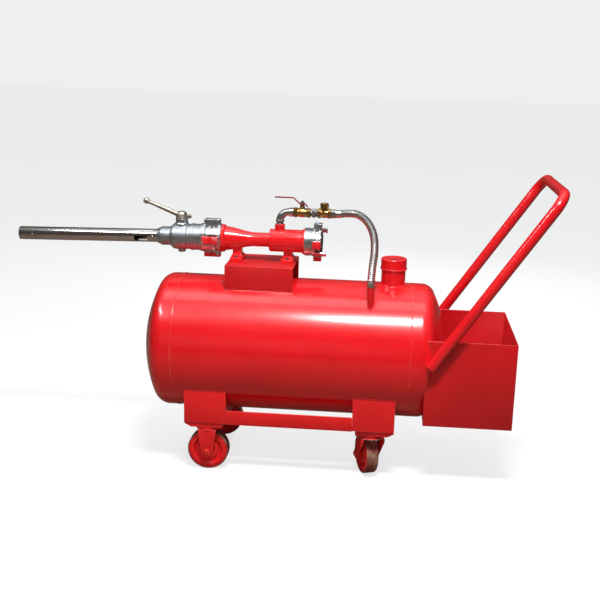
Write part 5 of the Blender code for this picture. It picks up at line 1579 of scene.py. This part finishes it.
    def hose_line(self, height: float, tank: FoamTank) -> list[Vector]:
        """The hose's centre line, from its nut to the tank's socket.

        Args:
            height: Height of the suction line's axis above the floor.
            tank: The tank that the line ends on.

        Returns:
            Points along the hose.
        """
        _, nut_end, _ = span("hose_nut")
        _, socket_top, socket = span("suction_socket")
        first = Vector((nut_end.x + GAP, 0, height))
        last = Vector((socket.x, socket.y, socket_top.z + GAP))
        knots = [Vector((x + tank.centre.x, y, z)) for x, y, z in self.hose_points]
        count = len(knots) - 1
        shift_a = first - knots[0]
        shift_b = last - knots[-1]
        knots = [k + shift_a * (1 - i / count) + shift_b * (i / count) for i, k in enumerate(knots)]
        start = first + Vector((self.hose_straight, 0, 0))
        end = last + Vector((0, 0, self.hose_straight))
        ahead = [first, start] + knots[1:-1] + [end, last]
        route = [first + (start - first) * t / 10 for t in range(10)]
        for i in range(1, len(ahead) - 2):
            before, here, there, after = ahead[i - 1:i + 3]
            for step in range(40):
                t = step / 40
                route.append(0.5 * (2 * here + (there - before) * t
                                    + (2 * before - 5 * here + 4 * there - after) * t * t
                                    + (3 * here - before - 3 * there + after) * t ** 3))
        return route + [end + (last - end) * t / 10 for t in range(11)]

    def build_hose(self, shop: Workshop, height: float, tank: FoamTank) -> None:
        """Models the ringed metal hose as one tube with a ridge at every pitch.

        Args:
            shop: Seats each finished piece on its body.
            height: Height of the suction line's axis above the floor.
            tank: The tank that the line ends on.
        """
        route = self.hose_line(height, tank)
        lengths = [0.0]
        for before, after in zip(route, route[1:]):
            lengths.append(lengths[-1] + (after - before).length)
        step = self.hose_pitch / 6
        count = int(lengths[-1] / step)
        points = []
        radii = []
        place = 0
        for i in range(count + 1):
            want = lengths[-1] * i / count
            while lengths[place + 1] < want and place < len(lengths) - 2:
                place += 1
            share = (want - lengths[place]) / (lengths[place + 1] - lengths[place])
            points.append(route[place].lerp(route[place + 1], share))
            ridge = 0.5 - 0.5 * math.cos(math.tau * want / self.hose_pitch)
            plain = min(want, lengths[-1] - want) < self.hose_straight * 0.9
            radii.append(self.hose_radius + (0.0002 if plain else 0.0022 * (ridge - 1.0)))
        hose = piped("suction_hose_fine", points, radii, 8)
        shop.seat(hose, Finish.BRAID, "root", CHROME, ["suction_hose"])
        LOG.info("hose length %.3f m", lengths[-1])


# ---------------------------------------------------------------- frame
@dataclass
class Trolley:
    """Brackets, rails, tool bin and push handle."""

    handle_angle: float = 56.4
    handle_radius: float = 0.019
    handle_bend: float = 0.065

    def build(self, shop: Workshop) -> None:
        """Models and dresses the welded frame.

        Args:
            shop: Seats each finished piece on its body.
        """
        for node in ("bracket_front", "bracket_rear"):
            shop.seat(refined(node + "_fine", node, 0.0035, 3), Finish.FRAME, "root", FRAME_RED, [node])
        for node in ("rail_left", "rail_right"):
            shop.seat(refined(node + "_fine", node, 0.0016), Finish.FRAME, "root", FRAME_RED, [node])
        self.build_welds(shop)
        # The tool bin takes the darker red, which is painted shade.
        shop.seat(refined("tool_bin_fine", "tool_bin", 0.0012), Finish.SHEET, "root", FRAME_RED, ["tool_bin"])
        self.build_handle(shop)

    @staticmethod
    def bead(name: str, start: Vector, end: Vector, size: float) -> bpy.types.Object:
        """A rippled weld bead along a straight joint.

        Args:
            name: Name of the piece.
            start: Where the joint starts.
            end: Where the joint ends.
            size: Radius of the bead.

        Returns:
            The weld bead.
        """
        count = int((end - start).length / 0.0016)
        points = [start.lerp(end, i / count) for i in range(count + 1)]
        radii = [size * (1.0 + 0.16 * math.sin(i * 1.6)) for i in range(count + 1)]
        radii[0] = radii[-1] = size * 0.4
        return piped(name, points, radii, 3)

    def build_welds(self, shop: Workshop) -> None:
        """Runs weld beads where the sheet parts meet the tank.

        Args:
            shop: Seats each finished piece on its body.
        """
        shell = span("tank_shell")
        radius = (shell[1].z - shell[0].z) / 2
        for node, drop in (("bracket_front", -1.0), ("bracket_rear", -1.0), ("saddle_bracket", 1.0)):
            low, high, _ = span(node)
            for side, word in ((-1.0, "left"), (1.0, "right")):
                y = side * (high.y - 0.0005)
                z = shell[2].z + drop * math.sqrt(radius ** 2 - y ** 2)
                weld = self.bead(f"{node}_weld_{word}", Vector((low.x + 0.006, y, z)),
                                 Vector((high.x - 0.006, y, z)), 0.0022)
                shop.seat(weld, Finish.TANK, "root", RED)

    def build_handle(self, shop: Workshop) -> None:
        """Models the bent tube of the push handle.

        Args:
            shop: Seats each finished piece on its body.
        """
        low, high, _ = span("push_handle")
        side = high.y - self.handle_radius
        slope = Vector((math.cos(math.radians(self.handle_angle)), 0,
                        math.sin(math.radians(self.handle_angle))))
        top = Vector((high.x - self.handle_radius, 0, high.z - self.handle_radius))
        foot = top - slope * ((top.z - low.z - self.handle_radius * slope.x) / slope.z)
        points = [Vector((foot.x, -side, foot.z))]
        for across, up in arc((0.0, 0.0), self.handle_bend, 180.0, 90.0, 12):
            spot = top + slope * (up - self.handle_bend)
            points.append(Vector((spot.x, -side + self.handle_bend + across, spot.z)))
        points += [Vector((p.x, -p.y, p.z)) for p in reversed(points)]
        handle = piped("push_handle_fine", points, [self.handle_radius] * len(points), 10)
        shop.seat(handle, Finish.TANK, "root", RED, ["push_handle"])
        _, bin_high, _ = span("tool_bin")
        for sign, word in ((-1.0, "left"), (1.0, "right")):
            y = sign * (bin_high.y + 0.0012)
            lift = Vector((-slope.z, 0, slope.x)) * self.handle_radius * 0.62
            start = Vector((foot.x, y, foot.z)) + slope * 0.012 + lift
            weld = self.bead(f"push_handle_weld_{word}", start, start + slope * 0.070, 0.0045)
            shop.seat(weld, Finish.TANK, "root", RED)


@dataclass
class Caster:
    """One caster: its plate, fork, wheel and axle."""

    prefix: str
    steered: bool
    tread_width: float = 0.046
    hub_half: float = 0.035
    radius: float = 0.076
    tyre_depth: float = 0.0042
    race_radius: float = 0.0445
    ball_radius: float = 0.0036
    ball_count: int = 26

    def wheel_place(self) -> Matrix:
        """Where the wheel's middle is, and which way its axle points.

        Returns:
            The place as a matrix.
        """
        joint = next(j for j in FRAME["joints"] if j["name"] == self.prefix + "_wheel_spin")
        direction = Vector(joint["axis"]).normalized()
        turn = Vector((0, 1, 0)).rotation_difference(direction).to_matrix().to_4x4()
        return Matrix.Translation(Vector((*joint["pos_m"][:2], self.radius))) @ turn

    def build(self, shop: Workshop) -> None:
        """Models and dresses the caster.

        Args:
            shop: Seats each finished piece on its body.
        """
        place = self.wheel_place()
        wheel_body = self.prefix + "_wheel_body"
        fork_body = self.prefix + "_caster" if self.steered else "root"
        half = self.tread_width / 2
        rim = self.radius - self.tyre_depth
        side = [(self.hub_half, 0.0068), (self.hub_half, 0.0150), (self.hub_half - 0.0015, 0.0165),
                (half - 0.0030, 0.0175), (half - 0.0045, 0.0190), (half - 0.0045, 0.0290),
                (half - 0.0020, 0.0305),
                (half - 0.0020, 0.0345), (half - 0.0050, 0.0360), (half - 0.0110, 0.0400),
                (half - 0.0110, 0.0480),
                (half - 0.0040, 0.0520), (half - 0.0008, 0.0550), (half - 0.0003, 0.0590),
                (half - 0.0010, 0.0660), (half - 0.0030, rim - 0.0015), (half - 0.0045, rim)]
        disc = [(-u, r) for u, r in side] + list(reversed(side))
        wheel = turned(self.prefix + "_wheel_fine", disc, Axis.Y, (0, 0, 0), 72, place)
        shop.seat(wheel, Finish.FRAME, wheel_body, TYRE, [self.prefix + "_wheel"])
        flank = [(half - 0.0042, rim + 0.0002), (half - 0.0026, rim - 0.0004), (half - 0.0012, rim + 0.0002),
                 (half - 0.0006, rim + 0.0014), (half - 0.0016, rim + 0.0028), (half - 0.0040, rim + 0.0037),
                 (half - 0.0090, rim + 0.0041)]
        tread = [(-u, r) for u, r in flank] + [(0.0, self.radius)] + list(reversed(flank))
        tyre = turned(self.prefix + "_tyre", tread, Axis.Y, (0, 0, 0), 96, place)
        shop.seat(tyre, Finish.TREAD, wheel_body, TYRE)
        fork = refined(self.prefix + "_fork_fine", self.prefix + "_fork", 0.0012)
        shop.seat(fork, Finish.FRAME, fork_body, FRAME_RED, [self.prefix + "_fork"])
        if self.steered:
            plate = refined(self.prefix + "_plate_fine", self.prefix + "_plate", 0.0012)
            # The caster plate takes the darker red, which is painted shade.
            shop.seat(plate, Finish.SHEET, "root", FRAME_RED, [self.prefix + "_plate"])
            self.build_race(shop)
        self.build_axle(shop, place, fork_body)

    def build_race(self, shop: Workshop) -> None:
        """Models the ring of balls that shows between plate and fork.

        Args:
            shop: Seats each finished piece on its body.
        """
        joint = next(j for j in FRAME["joints"] if j["name"] == self.prefix + "_swivel")
        middle = (span(self.prefix + "_plate")[0].z + span(self.prefix + "_fork")[1].z) / 2
        deselect()
        spot = (joint["pos_m"][0] + self.race_radius, joint["pos_m"][1], middle)
        bpy.ops.mesh.primitive_uv_sphere_add(segments=14, ring_count=8, radius=self.ball_radius,
                                             location=spot)
        first = bpy.context.active_object
        bpy.ops.object.transform_apply(location=True, rotation=True, scale=True)
        balls = [first]
        axle = Matrix.Translation((joint["pos_m"][0], joint["pos_m"][1], 0))
        for i in range(1, self.ball_count):
            ball = first.copy()
            ball.data = first.data.copy()
            bpy.context.scene.collection.objects.link(ball)
            turn = Matrix.Rotation(math.tau * i / self.ball_count, 4, "Z")
            balls.append(settle(ball, axle @ turn @ axle.inverted()))
        race = smoothed(gathered(self.prefix + "_balls", balls), 80.0)
        shop.seat(race, Finish.ZINC, self.prefix + "_caster", STEEL)

    def build_axle(self, shop: Workshop, place: Matrix, body: str) -> None:
        """Models the axle bolt with its head, nut and washers.

        Args:
            shop: Seats each finished piece on its body.
            place: Matrix of the wheel's place.
            body: Name of the body that carries the axle.
        """
        face = 0.0438
        end = 0.0503
        core = [(-end + 0.001, 0.0), (-end + 0.001, 0.006), (end + 0.0, 0.006), (end, 0.0)]
        parts = [turned("core", core, Axis.Y, (0, 0, 0), 32)]
        for side in (-1.0, 1.0):
            a, b = sorted((side * face, side * (face + 0.0016)))
            washer = [(a, 0.0), (a, 0.0100), (b, 0.0100), (b, 0.0)]
            parts.append(turned("washer", washer, Axis.Y, (0, 0, 0), 40))
            a, b = sorted((side * (face + 0.0016), side * (end - 0.0003)))
            parts.append(hexagon("head", 0.0160, a, b, Axis.Y, (0, 0, 0)))
        axle = gathered(self.prefix + "_axle_fine", parts)
        settle(axle, place)
        shop.seat(axle, Finish.FRAME, body, STEEL, [self.prefix + "_axle"])


# ---------------------------------------------------------------- studio
@dataclass
class Studio:
    """Camera, soft lights and a plain pale floor."""

    eye: tuple[float, float, float] = (0.3927, -3.518, 1.5284)
    yaw: float = 0.06696
    pitch: float = -0.25454
    roll: float = 0.03106
    lens: float = 58.44
    shift: tuple[float, float] = (-0.0391, 0.0045)
    bounce: Colour = (0.19, 0.14, 0.11)
    floor_glow: float = 0.74

    def build(self) -> None:
        """Sets up the camera, the floor and the lights."""
        deselect()
        ahead = Vector((-math.sin(self.yaw) * math.cos(self.pitch), math.cos(self.yaw) * math.cos(self.pitch),
                        math.sin(self.pitch)))
        right = Vector((math.cos(self.yaw), math.sin(self.yaw), 0))
        above = right.cross(ahead)
        across = right * math.cos(self.roll) + above * math.sin(self.roll)
        upward = above * math.cos(self.roll) - right * math.sin(self.roll)
        rows = Matrix((across, upward, -ahead)).transposed().to_4x4()
        camera_data = bpy.data.cameras.new("camera")
        camera_data.lens = self.lens
        camera_data.sensor_width = 36.0
        camera_data.shift_x, camera_data.shift_y = self.shift
        camera = bpy.data.objects.new("camera", camera_data)
        camera.matrix_world = Matrix.Translation(self.eye) @ rows
        bpy.context.scene.collection.objects.link(camera)
        bpy.context.scene.camera = camera
        bpy.context.scene.view_settings.view_transform = "Standard"
        self.build_floor()
        self.build_lights()
        self.build_surround()

    def build_floor(self) -> None:
        """Lays a wide pale floor that throws little light back up."""
        bpy.ops.mesh.primitive_plane_add(size=60.0, location=(0, 0, -0.0005))
        floor = bpy.context.active_object
        floor.name = "floor"
        made, graph, shader, vector = begin("pale_floor")
        noise = graph.node("TexNoise", {"Vector": vector, "Scale": 1.5, "Detail": 3.0})
        seen = graph.blend(noise.outputs["Fac"], (0.24, 0.24, 0.24), (0.28, 0.28, 0.28))
        ray = graph.node("LightPath")
        shade = graph.blend(ray.outputs["Is Camera Ray"], self.bounce, seen)
        graph.tree.links.new(shade, shader.inputs["Base Color"])
        glow = graph.math("MULTIPLY", ray.outputs["Is Camera Ray"], self.floor_glow)
        graph.tree.links.new(glow, shader.inputs["Emission Strength"])
        shader.inputs["Emission Color"].default_value = (1.0, 1.0, 1.0, 1.0)
        shader.inputs["Roughness"].default_value = 0.9
        shader.inputs["Specular IOR Level"].default_value = 0.1
        floor.data.materials.append(made)

    def build_lights(self) -> None:
        """Hangs the soft boxes."""
        for name, spot, aim, size, power, lit, mirrored in (
                ("key", (0.45, -1.80, 3.85), (0.2, 0.0, 0.5), (0.95, 0.38), 156.0, True, True),
                ("top", (0.0, 0.1, 3.3), (0.0, 0.0, 0.5), (3.2, 0.8), 12.0, True, True),
                ("strip", (-2.2, -1.35, 3.30), (-0.9, 0.0, 0.8), (2.0, 0.42), 52.0, False, True),
                ("front", (-0.6, -3.7, 1.3), (0.1, 0.0, 0.5), (2.2, 1.2), 32.0, True, False),
                ("back", (0.6, 3.2, 2.2), (0.2, 0.0, 0.5), (2.4, 1.0), 48.0, True, False)):
            data = bpy.data.lights.new(name, "AREA")
            data.shape = "RECTANGLE"
            data.size, data.size_y = size
            data.energy = power
            lamp = bpy.data.objects.new(name, data)
            way = Vector(aim) - Vector(spot)
            lamp.matrix_world = Matrix.Translation(spot) @ way.to_track_quat("-Z", "Y").to_matrix().to_4x4()
            lamp.visible_diffuse = lit
            lamp.visible_glossy = mirrored
            bpy.context.scene.collection.objects.link(lamp)

    def build_surround(self) -> None:
        """A pale backdrop to the eye, and a dimmer room with a dark horizon to light and reflections."""
        world = bpy.data.worlds.new("surround")
        bpy.context.scene.world = world
        world.use_nodes = True
        graph = Graph(world.node_tree)
        shade = world.node_tree.nodes["Background"]
        split = graph.node("SeparateXYZ", {0: graph.node("TexCoord").outputs["Generated"]})
        sky = graph.span(split.outputs["Z"], (0.55, 0.90), (0.0, 1.0))
        room = graph.blend(sky, (0.075, 0.065, 0.060), (0.62, 0.66, 0.72))
        ray = graph.node("LightPath")
        seen = graph.blend(ray.outputs["Is Camera Ray"], room, (0.86, 0.86, 0.86))
        graph.tree.links.new(seen, shade.inputs["Color"])
        shade.inputs["Strength"].default_value = 1.0


def main() -> None:
    """Builds every sub-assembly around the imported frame."""
    logging.basicConfig(level=logging.INFO, format="%(message)s")
    Studio().build()
    height = span("ejector_jet")[2].z
    shop = Workshop(height)
    tank = FoamTank()
    tank.build(shop)
    Eductor().build(shop, height)
    for half in (
            ClawHalf("inlet_coupling", "inlet_seal", "root", 1.0, 143.0, collar=0.026, proud=0.005),
            ClawHalf("outlet_coupling", "outlet_seal", "root", -1.0, 56.0),
            ClawHalf("gun_coupling", "gun_seal", "gun", 1.0, 124.0)):
        half.build(shop, height)
    FoamGun().build(shop, height)
    SuctionLine().build(shop, tank)
    Trolley().build(shop)
    for prefix in ("front_left", "front_right", "rear_left", "rear_right"):
        Caster(prefix, prefix.startswith("rear")).build(shop)


with open("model.json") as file:
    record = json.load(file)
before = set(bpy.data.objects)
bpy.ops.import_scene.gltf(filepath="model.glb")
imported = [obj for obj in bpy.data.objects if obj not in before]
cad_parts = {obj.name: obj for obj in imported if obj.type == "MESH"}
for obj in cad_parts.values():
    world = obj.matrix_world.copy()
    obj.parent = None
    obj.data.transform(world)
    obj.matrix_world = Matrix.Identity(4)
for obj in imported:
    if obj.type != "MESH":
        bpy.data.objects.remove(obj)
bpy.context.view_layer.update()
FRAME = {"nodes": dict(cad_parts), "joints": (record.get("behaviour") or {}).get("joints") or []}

if __name__ == "__main__":
    main()
